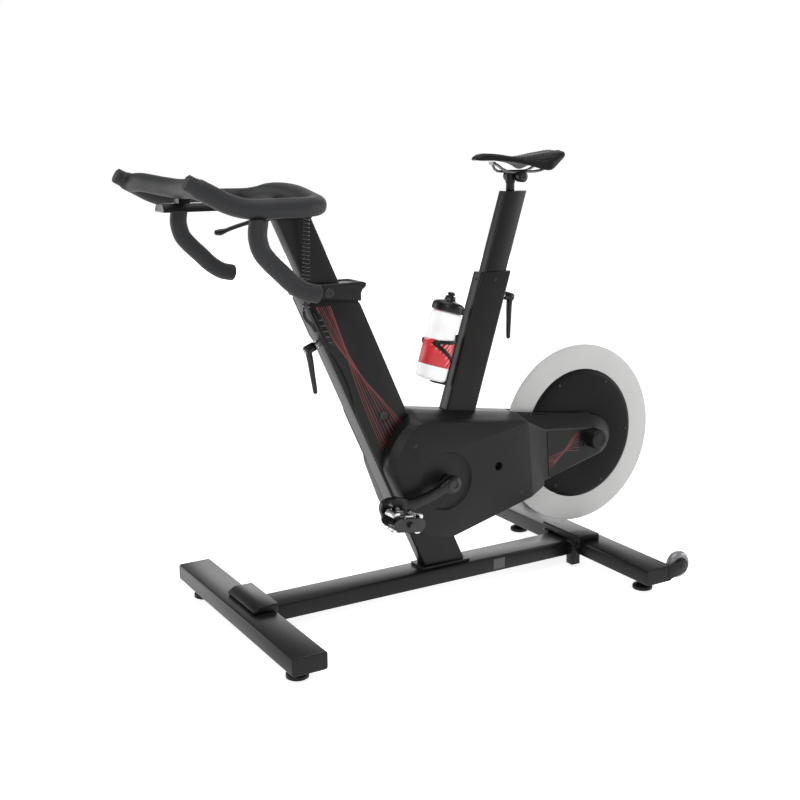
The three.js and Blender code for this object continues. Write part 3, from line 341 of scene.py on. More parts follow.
def spline(points, count):
    """Evenly spaced points along a centripetal curve through the given ones."""
    points = [Vector(p) for p in points]
    ends = [points[0] * 2 - points[1], *points, points[-1] * 2 - points[-2]]
    dense = []
    for i in range(len(points) - 1):
        p = ends[i : i + 4]
        t = [0.0]
        for a, b in zip(p, p[1:]):
            t.append(t[-1] + max((b - a).length, 1e-9) ** 0.5)
        for k in range(24):
            u = t[1] + (t[2] - t[1]) * k / 24
            a = [(p[j] * (t[j + 1] - u) + p[j + 1] * (u - t[j])) / (t[j + 1] - t[j]) for j in range(3)]
            b = [(a[j] * (t[j + 2] - u) + a[j + 1] * (u - t[j])) / (t[j + 2] - t[j]) for j in range(2)]
            dense.append((b[0] * (t[2] - u) + b[1] * (u - t[1])) / (t[2] - t[1]))
    dense.append(points[-1])
    lengths = [0.0]
    for a, b in zip(dense, dense[1:]):
        lengths.append(lengths[-1] + (b - a).length)
    made, j = [], 0
    for i in range(count + 1):
        want = lengths[-1] * i / count
        while j < len(dense) - 2 and lengths[j + 1] < want:
            j += 1
        share = (want - lengths[j]) / max(lengths[j + 1] - lengths[j], 1e-9)
        made.append(dense[j].lerp(dense[j + 1], min(max(share, 0), 1)))
    return made


DOME_ANGLES = (1.45, 1.2, 0.95, 0.7, 0.45, 0.2)


def sweep(bm, points, size, side, steps, sides=24, dome=0.0, power=1.0):
    """A tube along a smooth line of metres. size(t) is (half width, half height) in millimetres."""
    line = spline(points, steps) if steps else [Vector(p) for p in points]
    rings = []
    last = len(line) - 1
    spots = [(i, 1.0, 0.0) for i in range(last + 1)]
    if dome:
        cap = [(0, math.cos(a), -math.sin(a)) for a in DOME_ANGLES]
        spots = cap + spots + [(last, c, -s) for _, c, s in reversed(cap)]
    for i, shrink, push in spots:
        tangent = (line[min(i + 1, last)] - line[max(i - 1, 0)]).normalized()
        across = side(tangent)
        across = (across - tangent * across.dot(tangent)).normalized()
        over = tangent.cross(across)
        a, b = size(i / last)
        centre = line[i] + tangent * (dome * MM * push)
        ring = []
        for k in range(sides):
            angle = 2 * math.pi * k / sides
            c, s = math.cos(angle), math.sin(angle)
            c, s = math.copysign(abs(c) ** power, c), math.copysign(abs(s) ** power, s)
            ring.append(centre + across * (a * shrink * c * MM) + over * (b * shrink * s * MM))
        rings.append(ring)
    return bridge(bm, rings)


def sideways(tangent):
    return Vector((0, 1, 0))


def block(bm, low, high, bevel=1.0, place=at):
    """A box between two corners, in millimetres, with rounded edges."""
    spots = [place(x, y, z) for x in (low[0], high[0]) for y in (low[1], high[1]) for z in (low[2], high[2])]
    verts = [bm.verts.new(p) for p in spots]
    faces = [(0, 1, 3, 2), (4, 6, 7, 5), (0, 4, 5, 1), (2, 3, 7, 6), (0, 2, 6, 4), (1, 5, 7, 3)]
    made = [bm.faces.new([verts[i] for i in face]) for face in faces]
    edges = list({e for f in made for e in f.edges})
    bmesh.ops.bevel(bm, geom=edges, offset=bevel * MM, segments=2, affect="EDGES", profile=0.6)
    return bm


def evaluated(bm, *modifiers):
    """The bmesh after a list of (kind, settings) modifiers."""
    mesh = bpy.data.meshes.new("work")
    bmesh.ops.recalc_face_normals(bm, faces=bm.faces)
    bm.to_mesh(mesh)
    bm.free()
    work = bpy.data.objects.new("work", mesh)
    bpy.context.scene.collection.objects.link(work)
    for kind, settings in modifiers:
        modifier = work.modifiers.new(kind, kind)
        for key, value in settings.items():
            setattr(modifier, key, value)
    bpy.context.view_layer.update()
    made = bmesh.new()
    made.from_mesh(work.evaluated_get(bpy.context.evaluated_depsgraph_get()).to_mesh())
    bpy.data.objects.remove(work)
    return made


def carved(bm, *tools):
    """Subtracts each tool bmesh from bm."""
    cutters = []
    for tool in tools:
        bmesh.ops.recalc_face_normals(tool, faces=tool.faces)
        mesh = bpy.data.meshes.new("tool")
        tool.to_mesh(mesh)
        tool.free()
        cutter = bpy.data.objects.new("tool", mesh)
        bpy.context.scene.collection.objects.link(cutter)
        cutters.append(cutter)
    steps = [("BOOLEAN", {"operation": "DIFFERENCE", "solver": "EXACT", "object": c}) for c in cutters]
    made = evaluated(bm, *steps)
    for cutter in cutters:
        bpy.data.objects.remove(cutter)
    return made


def skin(name, bevel=0.0, smooth=50):
    """A finished copy of a CAD node: clean faces, softened edges and a proper material."""
    source = NODES[name]
    bm = bmesh.new()
    bm.from_mesh(source.data)
    bmesh.ops.remove_doubles(bm, verts=bm.verts, dist=2e-5)
    bmesh.ops.dissolve_limit(bm, angle_limit=math.radians(0.6), verts=bm.verts, edges=bm.edges)
    if bevel:
        settings = {
            "width": bevel * MM, "segments": 2, "limit_method": "ANGLE", "angle_limit": math.radians(35),
        }
        bm = evaluated(bm, ("BEVEL", {**settings, "use_clamp_overlap": True}))
    return remake(name + "_skin", bm, SLOT_LOOK[SLOTS[name]], name, smooth)


def mirror(bm):
    """A copy on the other side of the middle plane."""
    made = bm.copy()
    bmesh.ops.scale(made, vec=(1, -1, 1), verts=made.verts)
    return made


def screw(bm, place, axis, radius, height=3.0):
    """A socket-head screw whose head stands along axis from place."""
    turn = Vector((0, 0, 1)).rotation_difference(Vector(axis)).to_matrix().to_4x4()
    shoulder, socket_floor = height * 0.7, height * 0.35
    profile = [(0, 0), (radius, 0), (radius, shoulder), (radius * 0.82, height), (radius * 0.52, height)]
    profile += [(radius * 0.5, socket_floor), (0, socket_floor)]
    lathe(bm, profile, place, turn, 24)


def both(bm, side):
    """The mesh itself for the left side, or its mirror image for the right."""
    return bm if side > 0 else mirror(bm)


# ---------------- the data cable, a coiled cord
def coil(top, bottom, radius, pitch, lead=13.0, step=1.4):
    """Points down a coil that starts and ends straight. All in millimetres, as at() takes them."""
    steady = math.atan2(2 * math.pi * radius, pitch)
    height = top[2] - bottom[2]

    def run(length):
        turn, drop, made, s = 0.0, 0.0, [(0.0, 0.0)], 0.0
        while s < length:
            lean = steady * min(1, s / lead, max(length - s, 0) / lead)
            drop += math.cos(lean) * step
            turn += math.sin(lean) * step / radius
            s += step
            made.append((turn, drop))
        return made

    low, high = height, 20 * height
    for _ in range(40):
        middle = (low + high) / 2
        if run(middle)[-1][1] > height:
            high = middle
        else:
            low = middle
    made = []
    for turn, drop in run(low):
        share = drop / height
        x = top[0] + (bottom[0] - top[0]) * share + radius * math.cos(turn)
        y = top[1] + (bottom[1] - top[1]) * share + radius * math.sin(turn)
        made.append(at(x, y, top[2] - drop))
    return made


WIRE = 3.2
COIL_RADIUS, COIL_PITCH = 6.8, 8.6
COIL_TOP, COIL_BOTTOM = (793, 51, 933.5), (792, 46, 719.5)
coil_path = coil(COIL_TOP, COIL_BOTTOM, COIL_RADIUS, COIL_PITCH)
bm = bmesh.new()
sweep(bm, coil_path, lambda t: (WIRE / 2, WIRE / 2), lambda t: Vector((0.3, 0.2, 0.93)), 0, sides=8)
cable = add("handlebar_cable_coil", bm, COIL_BLACK, None, "rubber_black", ["handlebar_cable"], 80)
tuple(coil_path[-1])
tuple(coil_path[0])
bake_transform(cable)
coil_length = sum((b - a).length for a, b in zip(coil_path, coil_path[1:]))
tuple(coil_path[0])
bm = bmesh.new()
gland = [at(798.6, 46, 722), at(797, 45.5, 712), at(789, 42, 701), at(776, 38.5, 690), at(766, 37, 676)]
sweep(bm, gland, lambda t: (3.4 + 2.4 * t, 3.4 + 1.6 * t), sideways, 20, sides=16, dome=1.5)
add("cable_strain_relief", bm, RUBBER_BLACK, "frame", "rubber_black", smooth=60)

# ---------------- floor frame
for name in ("front_bar", "rear_bar", "main_beam"):
    skin(name, bevel=0.5)
for name in ("front_joint_cap", "rear_joint_cover"):
    skin(name, bevel=0.9)
for end in ("front", "rear"):
    for side, sign in SIDES:
        skin(f"{end}_bar_plug_{side}", bevel=0.4)
        foot_low, foot_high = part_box(f"foot_{end}_{side}")
        x = (foot_low.x + foot_high.x) / 2
        y = (foot_low.y + foot_high.y) / 2
        bm = bmesh.new()
        pad = [
            (0, 0), (22.5, 0), (24.2, 1.2), (24.4, 3), (24.4, 8), (23.4, 9.4), (17, 12.6), (12, 14.6),
            (10, 17),
        ]
        pad += [(10, 23), (9.4, 24), (9.4, 30), (5, 30.1), (5, 44), (0, 44.6)]
        lathe(bm, pad, Vector((x, y, 0)), "z", 48)
        remake(f"foot_{end}_{side}_pad", bm, RUBBER_BLACK, f"foot_{end}_{side}", 35)

for side, sign in SIDES:
    low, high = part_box(f"transport_wheel_{side}")
    hub = (low + high) / 2
    body = NODES[f"transport_wheel_{side}"]["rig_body"]
    tyre = [
        (20, -11), (23, -12), (27, -11.2), (30.6, -8), (32.6, -4), (33, 0), (32.6, 4), (30.6, 8),
        (27, 11.2), (23, 12), (20, 11),
    ]
    bm = bmesh.new()
    lathe(bm, tyre, hub, "y", 72)
    remake(f"transport_tyre_{side}", bm, WHEEL_SMOKE, f"transport_wheel_{side}", 50)
    bm = bmesh.new()
    lathe(bm, [(4.4, -12), (9, -12), (10, -11), (10, 11), (9, 12), (4.4, 12)], hub, "y", 40)
    lathe(bm, [(17.6, -10), (20.4, -10), (20.4, 10), (17.6, 10)], hub, "y", 56)
    for k in range(6):
        turn = Matrix.Rotation(2 * math.pi * k / 6, 4, "Y")
        block(bm, (8.5, -7, -2), (19, 7, 2), 0.7, placer(hub, turn))
    add(f"transport_hub_{side}", bm, LABEL_GREY, body, "wheel_clear", smooth=40)

bm = bmesh.new()
for _, sign in SIDES:
    screw(bm, at(-80, sign * 319.2, 60), (0, sign, 0), 7, 2.4)
for y in (52, -52):
    for x in (2, 30):
        screw(bm, at(x, y, 85), (0, 0, 1), 5, 1.2)
add("base_bolts", bm, SCREW_BLACK, "frame", "cap_black", smooth=35)
bm = bmesh.new()
block(bm, (254, 38.9, 35), (288, 39.7, 61), 0.3)
add("blank_label_plate", bm, LABEL_GREY, "frame", "cap_black")

# ---------------- mast
skin("mast_tube")
skin("mast_head", bevel=1.2)
skin("handlebar_post")


def on_mast(along, y, z):
    """A point by its distance in front of the mast's middle plane at height z."""
    return at(mast_x(z) + along, y, z)


front, rear = MAST_DEPTH / 2 - 1, -MAST_DEPTH / 2 + 2
panel_edge = [(front, 746)]
for inset, z in ((0, 655), (5, 628), (10, 603), (13, 575), (13, 545), (10, 520), (5, 495), (0, 468)):
    panel_edge.append((front - inset, z))
panel_edge += [(front, 340), (rear, 330), (rear, 731)]
panel = rounded([(mast_x(z) + along, z) for along, z in panel_edge], 5, 3)
for side, sign in SIDES:
    bm = bmesh.new()
    prism(bm, panel, 30.3, 33.5, at, 0.8)
    recess = bmesh.new()
    lathe(recess, [(0, 31.6), (17, 31.6), (18, 40), (0, 40)], at(595, 0, 464), "y", 48)
    remake(f"mast_panel_{side}_print", both(carved(bm, recess), sign), PANEL_BLACK, f"mast_panel_{side}", 40)
    bm = bmesh.new()
    lathe(
        bm, [(0, 31.7), (9, 31.7), (9, 33.6), (8.2, 34.4), (4.2, 34.4), (4.2, 32.6), (0, 32.6)],
        at(595, 0, 464), "y", 40,
    )
    lathe(
        bm,
        [(0, 36), (11, 36), (11, 37.6), (10, 38.4), (6, 38.4), (5.6, 39.8), (3, 39.8), (3, 38), (0, 38)],
        at(731, 0, 757), "y", 40,
    )
    add(f"mast_bolts_{side}", both(bm, sign), SCREW_BLACK, "frame", "cap_black", smooth=35)


def print_line(bm, points, width):
    """A thin printed line on a panel that faces along y."""
    sweep(
        bm, points, lambda t: (width / 2, 0.15), lambda tangent: tangent.cross(Vector((0, 1, 0))), 48,
        sides=4,
    )


def ease(t):
    """Runs from 0 to 1 with a soft start and a soft end."""
    return t * t * (3 - 2 * t)


bm = bmesh.new()
for i in range(11):
    line = []
    for k in range(13):
        t = k / 12
        along = (47 - 3.2 * i) * (1 - ease(t)) + (-52 + 9.4 * i) * ease(t)
        along += 5 * math.sin(5.2 * t + 0.55 * i)
        line.append(on_mast(min(along, 46), 33.5, 728 - 382 * t))
    print_line(bm, line, 0.9 + 0.5 * (i % 3))
for side, sign in SIDES:
    lines = bm.copy() if sign > 0 else mirror(bm)
    add(f"mast_panel_{side}_lines", lines, PRINT_RED, "frame", "panel_black", smooth=80)
bm.free()

bm = bmesh.new()
slot_line = [
    (front - 4, 719), (front - 7, 640), (front - 21, 632), (front - 23, 644), (front - 22, 708),
    (front - 14, 719),
]
prism(bm, rounded([(mast_x(z) + a, z) for a, z in slot_line], 6, 4), 32.6, 38.2, at, 1.6)
add("cable_channel", bm, CAP_BLACK, "frame", "panel_black", smooth=40)
bm = bmesh.new()
for i in range(5):
    z = 700 - i * 13
    corners = [(front - 19, z), (front - 9, z), (front - 9, z - 2), (front - 19, z - 2)]
    bridge(bm, [[on_mast(along, y, height) for along, height in corners] for y in (38.3, 38.8)])
add("cable_channel_ribs", bm, LABEL_GREY, "frame", "panel_black")


# ---------------- levers
def clamp_lever(node_name, piece_name, base, outward):
    """Hub on an axis that stands off a tube, with a tapering arm that hangs from its outer end."""
    x_axis = Vector(outward).normalized()
    y_axis = Vector((0, 1, 0))
    place = Matrix((x_axis, y_axis, x_axis.cross(y_axis))).transposed()
    if place.col[2].z < 0:
        place.col[2] = -place.col[2]

    def put(x, y, z):
        return base + place @ Vector((x, y, z)) * MM

    body = NODES[node_name]["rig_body"]
    bm = bmesh.new()
    line = [put(x, 0, z) for x, z in ((28, 4), (29.5, -8), (34, -28), (41, -52), (47.5, -76), (53, -95))]
    sweep(bm, line, lambda t: (8.6 - 2.8 * t, 7.6 - 2.4 * t), sideways, 30, sides=20, dome=6)
    hub = [(0, 10), (9.6, 10), (10.6, 11.5), (10.6, 33), (9.4, 35.5), (6.6, 36), (6.4, 34.6), (0, 34.6)]
    turn = Vector((0, 0, 1)).rotation_difference(x_axis).to_matrix().to_4x4()
    lathe(bm, hub, base, turn, 36)
    remake(piece_name, bm, LEVER_BLACK, node_name, 45)
    bm = bmesh.new()
    lathe(bm, [(0, 0), (8.6, 0), (8.6, 4), (7.2, 4.6), (7.2, 10), (0, 10)], base, turn, 32)
    screw(bm, put(34.6, 0, 0), x_axis, 4.4, 2.6)
    add(piece_name + "_insert", bm, STEEL, body, "bright_steel", smooth=35)


LEVER_Z = 640
mast_up = math.atan(MAST_LEAN)
mast_face = at(mast_x(LEVER_Z) + MAST_DEPTH / 2 + 0.3, 0, LEVER_Z)
clamp_lever("mast_clamp_lever", "mast_lever_arm", mast_face, (math.cos(mast_up), 0, -math.sin(mast_up)))
seat_up = math.atan(-SEAT_LEAN)
SEAT_LEVER_Z = 716
seat_face = at(seat_x(SEAT_LEVER_Z) - SEAT_DEPTH / 2 - 0.3, 0, SEAT_LEVER_Z)
clamp_lever("seat_clamp_lever", "seat_lever_arm", seat_face, (-math.cos(seat_up), 0, -math.sin(seat_up)))
bm = bmesh.new()
reach_route = [
    (876, 47, 932), (893, 47, 927), (924, 47.5, 921), (958, 47.5, 912), (984, 47.5, 904), (996, 47.5, 903),
]
reach_line = [at(*p) for p in reach_route]


def reach_size(t):
    knob = max(0, 1 - abs(t - 0.93) / 0.12)
    return (4.8 - math.sin(math.pi * t) + 2 * knob, 8 - 3.6 * min(t * 2.2, 1) + 2.6 * knob)


sweep(bm, reach_line, reach_size, sideways, 36, sides=18, dome=4)
lathe(
    bm, [(0, 38.4), (11, 38.4), (11.4, 39.4), (11.4, 48), (10, 51), (5, 52), (0, 52)], at(882, 0, 932), "y",
    40,
)
remake("reach_lever_arm", bm, LEVER_BLACK, "reach_lever", 45)

# ---------------- handlebar
skin("slider_block", bevel=1.0)
skin("slide_rail", bevel=0.5)
half_loop = [
    (1121, 213, 1015), (1075, 213, 991), (1035, 213, 971), (990, 212, 960), (925, 212, 960),
    (866, 207, 960),
]
half_loop += [(834, 182, 961), (824, 130, 967), (823, 65, 977)]
loop = [at(*p) for p in half_loop] + [at(823, 0, 980)] + [at(x, -y, z) for x, y, z in reversed(half_loop)]
LOOP_LENGTH, TIP_LENGTH, STEP_LENGTH, SWELL_LENGTH = 1015, 22, 5, 143


def ring_size(t):
    """Slim tips, then a step out, then a slow swell toward the rear bow."""
    past_tip = min(t, 1 - t) * LOOP_LENGTH - TIP_LENGTH
    step = min(max(past_tip / STEP_LENGTH, 0), 1)
    swell = min(max((past_tip - STEP_LENGTH) / SWELL_LENGTH, 0), 1)
    return (16.8 + 3.4 * step + 2.8 * swell, 16.8 + 3 * step + 0.7 * swell)


def level_side(tangent):
    return Vector((0, 0, 1)).cross(tangent)


bm = bmesh.new()
sweep(bm, loop, ring_size, level_side, 150, sides=28, power=0.9)
bow = [
    (1088, 205, 998), (1084, 150, 1001), (1068, 75, 996), (1058, 0, 993), (1068, -75, 996),
    (1084, -150, 1001), (1088, -205, 998),
]
sweep(bm, [at(*p) for p in bow], lambda t: (18, 20.5), level_side, 60, sides=28, power=0.9)
bm = evaluated(
    bm,
    ("REMESH", {"mode": "VOXEL", "voxel_size": 0.003}),
    ("SMOOTH", {"factor": 0.5, "iterations": 6}),
)
ring = remake("foam_ring_grip", bm, FOAM_BLACK, "handlebar_ring", 70)
DROP_RADIUS = 19
drop_line = [
    (976, 219, 936), (979, 219, 915), (978.5, 219, 901), (971, 219, 876), (954, 219, 855), (928, 219, 830),
]
drop_line += [(902, 219, 806), (877, 219.5, 791), (864, 220.5, 787.5), (852, 221, 785)]
for side, sign in SIDES:
    bm = bmesh.new()
    line = [at(x, y * sign, z) for x, y, z in drop_line]
    sweep(bm, line, lambda t: (DROP_RADIUS, DROP_RADIUS), sideways, 60, sides=28, dome=6)
    drop = remake(f"foam_drop_{side}", bm, FOAM_BLACK, f"handlebar_drop_{side}", 60)

# ---------------- seat
skin("seat_tube")
skin("seat_collar", bevel=0.6)
skin("seat_post")
skin("saddle_stem", bevel=0.6)
skin("saddle_clamp", bevel=0.8)
skin("saddle_rails", smooth=70)
bm = bmesh.new()
screw(bm, at(seat_x(758) + SEAT_DEPTH / 2, 0, 758), (math.cos(seat_up), 0, math.sin(seat_up)), 4, 2)
for _, sign in SIDES:
    screw(bm, at(seat_x(756), sign * 20, 756), (0, sign, 0), 4, 2)
add("collar_screws", bm, SCREW_BLACK, "frame", "cap_black", smooth=35)
bm = bmesh.new()
for _, sign in SIDES:
    screw(bm, at(206, sign * 33, 1001), (0, sign, 0), 9, 3)
add("saddle_clamp_bolt", bm, SCREW_BLACK, "tilt_clamp", "cap_black", smooth=35)

SADDLE = [
    # x, half width, crown, side edge
    (327, 9, 1046, 1041), (324.5, 14, 1049.5, 1040), (318, 18, 1053, 1039.2), (303, 20, 1056, 1039),
    (280, 21.5, 1056, 1039), (255, 24, 1053.5, 1037.8), (230, 28.5, 1050, 1035.5), (205, 36, 1049, 1030.5),
    (186, 46, 1050.5, 1024), (168, 57, 1053, 1016.5), (152, 65, 1055.5, 1012), (140, 65, 1057.5, 1015),
    (128, 61, 1059, 1023), (112, 55, 1061.5, 1034), (97, 48, 1063, 1042), (86, 40, 1063, 1047),
    (80, 32, 1061, 1051), (78, 24, 1058.5, 1052),
]
SIDE_POWER, CROWN_POWER = 0.72, 0.62
GROOVE_DEPTH, GROOVE_WIDTH = 2.6, 6.0
bm = bmesh.new()
rings = []
for x, half, crown, edge in SADDLE:
    ring = []
    for k in range(25):
        angle = math.pi * k / 24
        c, s = math.cos(angle), math.sin(angle)
        y = half * math.copysign(abs(c) ** SIDE_POWER, c)
        z = edge + (crown - edge) * s ** CROWN_POWER
        fade = max(0, min(1, (300 - x) / 60))
        z -= GROOVE_DEPTH * math.exp(-((y / GROOVE_WIDTH) ** 2)) * fade * s
        ring.append(at(x, y, z))
    for k in range(1, 12):
        share = 1 - 2 * k / 12
        ring.append(at(x, -half * share * 0.97, edge + max(3.2, 1033 - edge) * (1 - share ** 2)))
    rings.append(ring)
bridge(bm, rings)
bm = evaluated(bm, ("SUBSURF", {"levels": 2, "render_levels": 2}))
saddle = remake("saddle_cushion", bm, SADDLE_BLACK, "saddle", 70)


def saddle_line(share, lift=0.3):
    """A seam that keeps a share of the half width from nose to tail, on the saddle's top."""
    made = []
    for side in (1, -1):
        part = []
        for x, half, crown, edge in SADDLE[2:-1]:
            angle = math.acos(share ** (1 / SIDE_POWER))
            height = edge + (crown - edge) * math.sin(angle) ** CROWN_POWER + lift
            part.append(at(x, side * half * share, height))
        made.append(part)
    return made


bm = bmesh.new()
for line in saddle_line(0.86) + saddle_line(0.42, 0.0):
    sweep(bm, line, lambda t: (0.7, 0.6), sideways, 60, sides=6)
add("saddle_seams", bm, RUBBER_BLACK, "saddle_carriage", "saddle_black", smooth=60)

# ---------------- covers
COVER_FACE, POD_FACE, WALL = 77, 60, 3
CRANK_X, CRANK_Z = 450, 296


def top_inner(x):
    """The height of the cover's ridge at x, at the middle plane."""
    return 467 - 0.143 * (523 - x)


def top_outer(x):
    """The height of the cover's top edge at x, at its face."""
    return 445 - 0.1202 * (508 - x)


def main_section(y, inset, shrink=0.0):
    """The cover's outline at a distance y from the middle plane."""
    share = min(max((y - 22) / (COVER_FACE - 22), 0), 1)
    taper = min(max((y - POD_FACE) / (COVER_FACE - POD_FACE), 0), 1)

    def mix(a, b):
        return a + (b - a) * share

    rear = 150 + 65 * taper
    rear_top = 377 + (top_outer(215) - 377) * taper if y > 22 else top_inner(150)
    corners = [
        (rear - 18 * taper, 232 - 0.3 * (rear - 18 * taper - 150)), (rear, rear_top),
        (rear + 6 + 62 * (1 - taper), mix(top_inner(218), top_outer(218))),
        (mix(520, 533) - 16 * taper, mix(467, 446) - 2 * taper),
        (mix(568, 576) - 14 * taper, mix(428, 414) - 9 * taper),
        (mix(611, 605) - 14 * taper, mix(362, 350) - 5 * taper),
        (553, 236), (532, 194), (498, 169), (430, 157),
    ]
    made = []
    for x, z in corners:
        across = (380 - x) / 190
        up = min(max((300 - z) / 120, -1.1), 1.1)
        pull = inset + shrink
        made.append((x + pull * across, z + pull * up))
    soft = rounded(made, [7, 7, 9, 14, 30, 40, 16, 24, 24, 10], 6)
    return [at(p.x, y, p.y) for p in soft]


POD_INNER_LINE = [
    (190, 222), (190, 419), (-20, 390), (-57, 376), (-84, 354), (-92, 325), (-84, 300), (-65, 281),
    (22, 260),
]
POD_OUTER_LINE = [
    (190, 235), (190, 381), (-5, 362), (-20, 358), (-33, 349), (-39, 332), (-39, 314), (-33, 298),
    (50, 274),
]


def pod_section(share, y, inset):
    """The pod's outline between its inner line (share 0) and its outer line (share 1)."""
    made = []
    for (x0, z0), (x1, z1) in zip(POD_INNER_LINE, POD_OUTER_LINE):
        x, z = x0 + (x1 - x0) * share, z0 + (z1 - z0) * share
        pull = inset / math.hypot(x - 60, z - 325)
        made.append((x + (60 - x) * pull, z + (325 - z) * pull * 1.5))
    return [at(p.x, y, p.y) for p in rounded(made, 16, 4)]


HOLE_X, HOLE_Z = 301, 310


def drum(radius, low, high, x=CRANK_X, z=CRANK_Z, sides=72):
    return lathe(bmesh.new(), [(0, low), (radius, low), (radius, high), (0, high)], at(x, 0, z), "y", sides)


def leaning_block(slope, spot, depth, width, low, high):
    """A leaning bar whose middle passes through spot, for cutting a tube's mouth."""
    rings = []
    for z in (low, high):
        x = spot[0] + slope * (z - spot[1])
        corners = [
            (x - depth / 2, -width / 2), (x + depth / 2, -width / 2), (x + depth / 2, width / 2),
            (x - depth / 2, width / 2),
        ]
        rings.append([at(across, y, z) for across, y in corners])
    return bridge(bmesh.new(), rings)


def cover_side(inset, start, wall, soft):
    """One cover's housing and pod: the outer form with wall 0, or the hollow inside it."""
    face = COVER_FACE - wall
    body = bmesh.new()
    levels = [(start, 0), (22, 0), (40, 0), (POD_FACE - wall, 0)]
    if soft:
        levels += [(face - 1.3, 0), (face - 0.4, 0.4), (face, 1.3)]
    else:
        levels += [(face, 0)]
    bridge(body, [main_section(y, inset, shrink) for y, shrink in levels])
    pod_face = POD_FACE - wall
    rim = 1.5 if soft else 0
    pod_levels = [(0, 20.4 + wall, 0), (0, 23 + wall, 0), (0.93, pod_face - 2, 0), (1, pod_face, rim)]
    pod = bridge(bmesh.new(), [pod_section(share, y, inset + extra) for share, y, extra in pod_levels])
    return body, pod


def united(one, two):
    """Joins two meshes into one solid."""
    mesh = bpy.data.meshes.new("part")
    bmesh.ops.recalc_face_normals(two, faces=two.faces)
    two.to_mesh(mesh)
    two.free()
    other = bpy.data.objects.new("part", mesh)
    bpy.context.scene.collection.objects.link(other)
    made = evaluated(one, ("BOOLEAN", {"operation": "UNION", "solver": "EXACT", "object": other}))
    bpy.data.objects.remove(other)
    return made


outer = united(*cover_side(0, 0.3, 0, True))
hollow = carved(
    united(*cover_side(3.2, -5, WALL, False)), drum(75, 67, 90), drum(14, 60, 90, HOLE_X, HOLE_Z, 32),
)
cover = carved(
    outer,
    hollow,
    lathe(
        bmesh.new(), [(0, 71), (66.5, 71), (70, 74.5), (70.4, 90), (0, 90)], at(CRANK_X, 0, CRANK_Z), "y",
        96,
    ),
    drum(16, 30, 90),
    lathe(
        bmesh.new(), [(0, 61.5), (9.4, 61.5), (9.8, 75), (11, 77.3), (11, 90), (0, 90)],
        at(HOLE_X, 0, HOLE_Z), "y", 40,
    ),
    drum(20, 10, 40, 0, AXLE_Z, 40),
    drum(236, -30, 20.4, 0, AXLE_Z, 128),
    leaning_block(MAST_LEAN, MAST_FOOT, 133.4, 67.8, 100, 480),
    leaning_block(MAST_LEAN, MAST_FOOT, 118, 42, 80, 200),
    leaning_block(SEAT_LEAN, SEAT_SPOT, 87.4, 41, 300, 500),
    block(bmesh.new(), (-30, -5, 180), (160, 19.5, 440), 0.5),
)
for side, sign in SIDES:
    shell = cover.copy() if sign > 0 else mirror(cover)
    remake(f"{side}_cover_shell", shell, COVER_BLACK, f"{side}_cover", 32)
cover.free()

POD_PANEL = rounded([(143, 372), (-2, 357.5), (-29, 300), (56, 275), (136, 251)], 9, 4)
for side, sign in SIDES:
    bm = bmesh.new()
    prism(bm, POD_PANEL, 59.6, 60.9, at, 0.4)
    hole = lathe(bmesh.new(), [(0, 59.9), (28, 59.9), (28, 70), (0, 70)], at(0, 0, AXLE_Z), "y", 64)
    add(f"pod_panel_{side}", both(carved(bm, hole), sign), PANEL_BLACK, "frame", "panel_black", smooth=35)
    bm = bmesh.new()
    cap = [
        (0, 60.3), (25.4, 60.3), (25.4, 66), (24.8, 67.4), (24.4, 89), (23.4, 91.4), (21, 92.3), (13, 92.3),
        (12.4, 91), (0, 91),
    ]
    lathe(bm, cap, at(0, 0, AXLE_Z), "y", 72)
    for k in range(18):
        angle = 2 * math.pi * k / 18
        x, z = 24.4 * math.cos(angle), 24.4 * math.sin(angle)
        turn = Matrix.Rotation(-angle, 4, "Y")

        def on_rim(a, b, c, turn=turn, x=x, z=z):
            return at(x, b, AXLE_Z + z) + turn @ Vector((a, 0, c)) * MM

        block(bm, (-0.7, 68, -1.7), (0.7, 88, 1.7), 0.4, on_rim)
    remake(f"{side}_hub_cap_knob", both(bm, sign), CAP_BLACK, f"{side}_hub_cap", 35)
    bm = bmesh.new()
    lathe(
        bm, [(6.4, 60.8), (9.6, 60.8), (9.6, 62), (8.8, 62.8), (7, 62.8), (6.4, 62)], at(33, 0, 326), "y",
        32,
    )
    add(f"cover_plugs_{side}", both(bm, sign), RUBBER_BLACK, "frame", "cap_black", smooth=40)
    bm = bmesh.new()
    for i in range(9):
        line = []
        for k in range(9):
            t = k / 8
            height = (272 + 4.6 * i) * (1 - ease(t)) + (362 - 6.2 * i) * ease(t)
            height += 3.2 * math.sin(6 * t + 0.6 * i)
            line.append(at(138 - 96 * t, 60.95, height))
        print_line(bm, line, 0.9 + 0.4 * (i % 3))
    add(f"pod_panel_{side}_lines", both(bm, sign), PRINT_RED, "frame", "panel_black", smooth=80)
    bm = bmesh.new()
    for x, z in ((536, 392), (527, 214), (240, 388), (232, 236)):
        screw(bm, at(x, 76.4, z), (0, 1, 0), 4.2, 1.2)
    add(f"cover_screws_{side}", both(bm, sign), SCREW_BLACK, "frame", "cap_black", smooth=35)

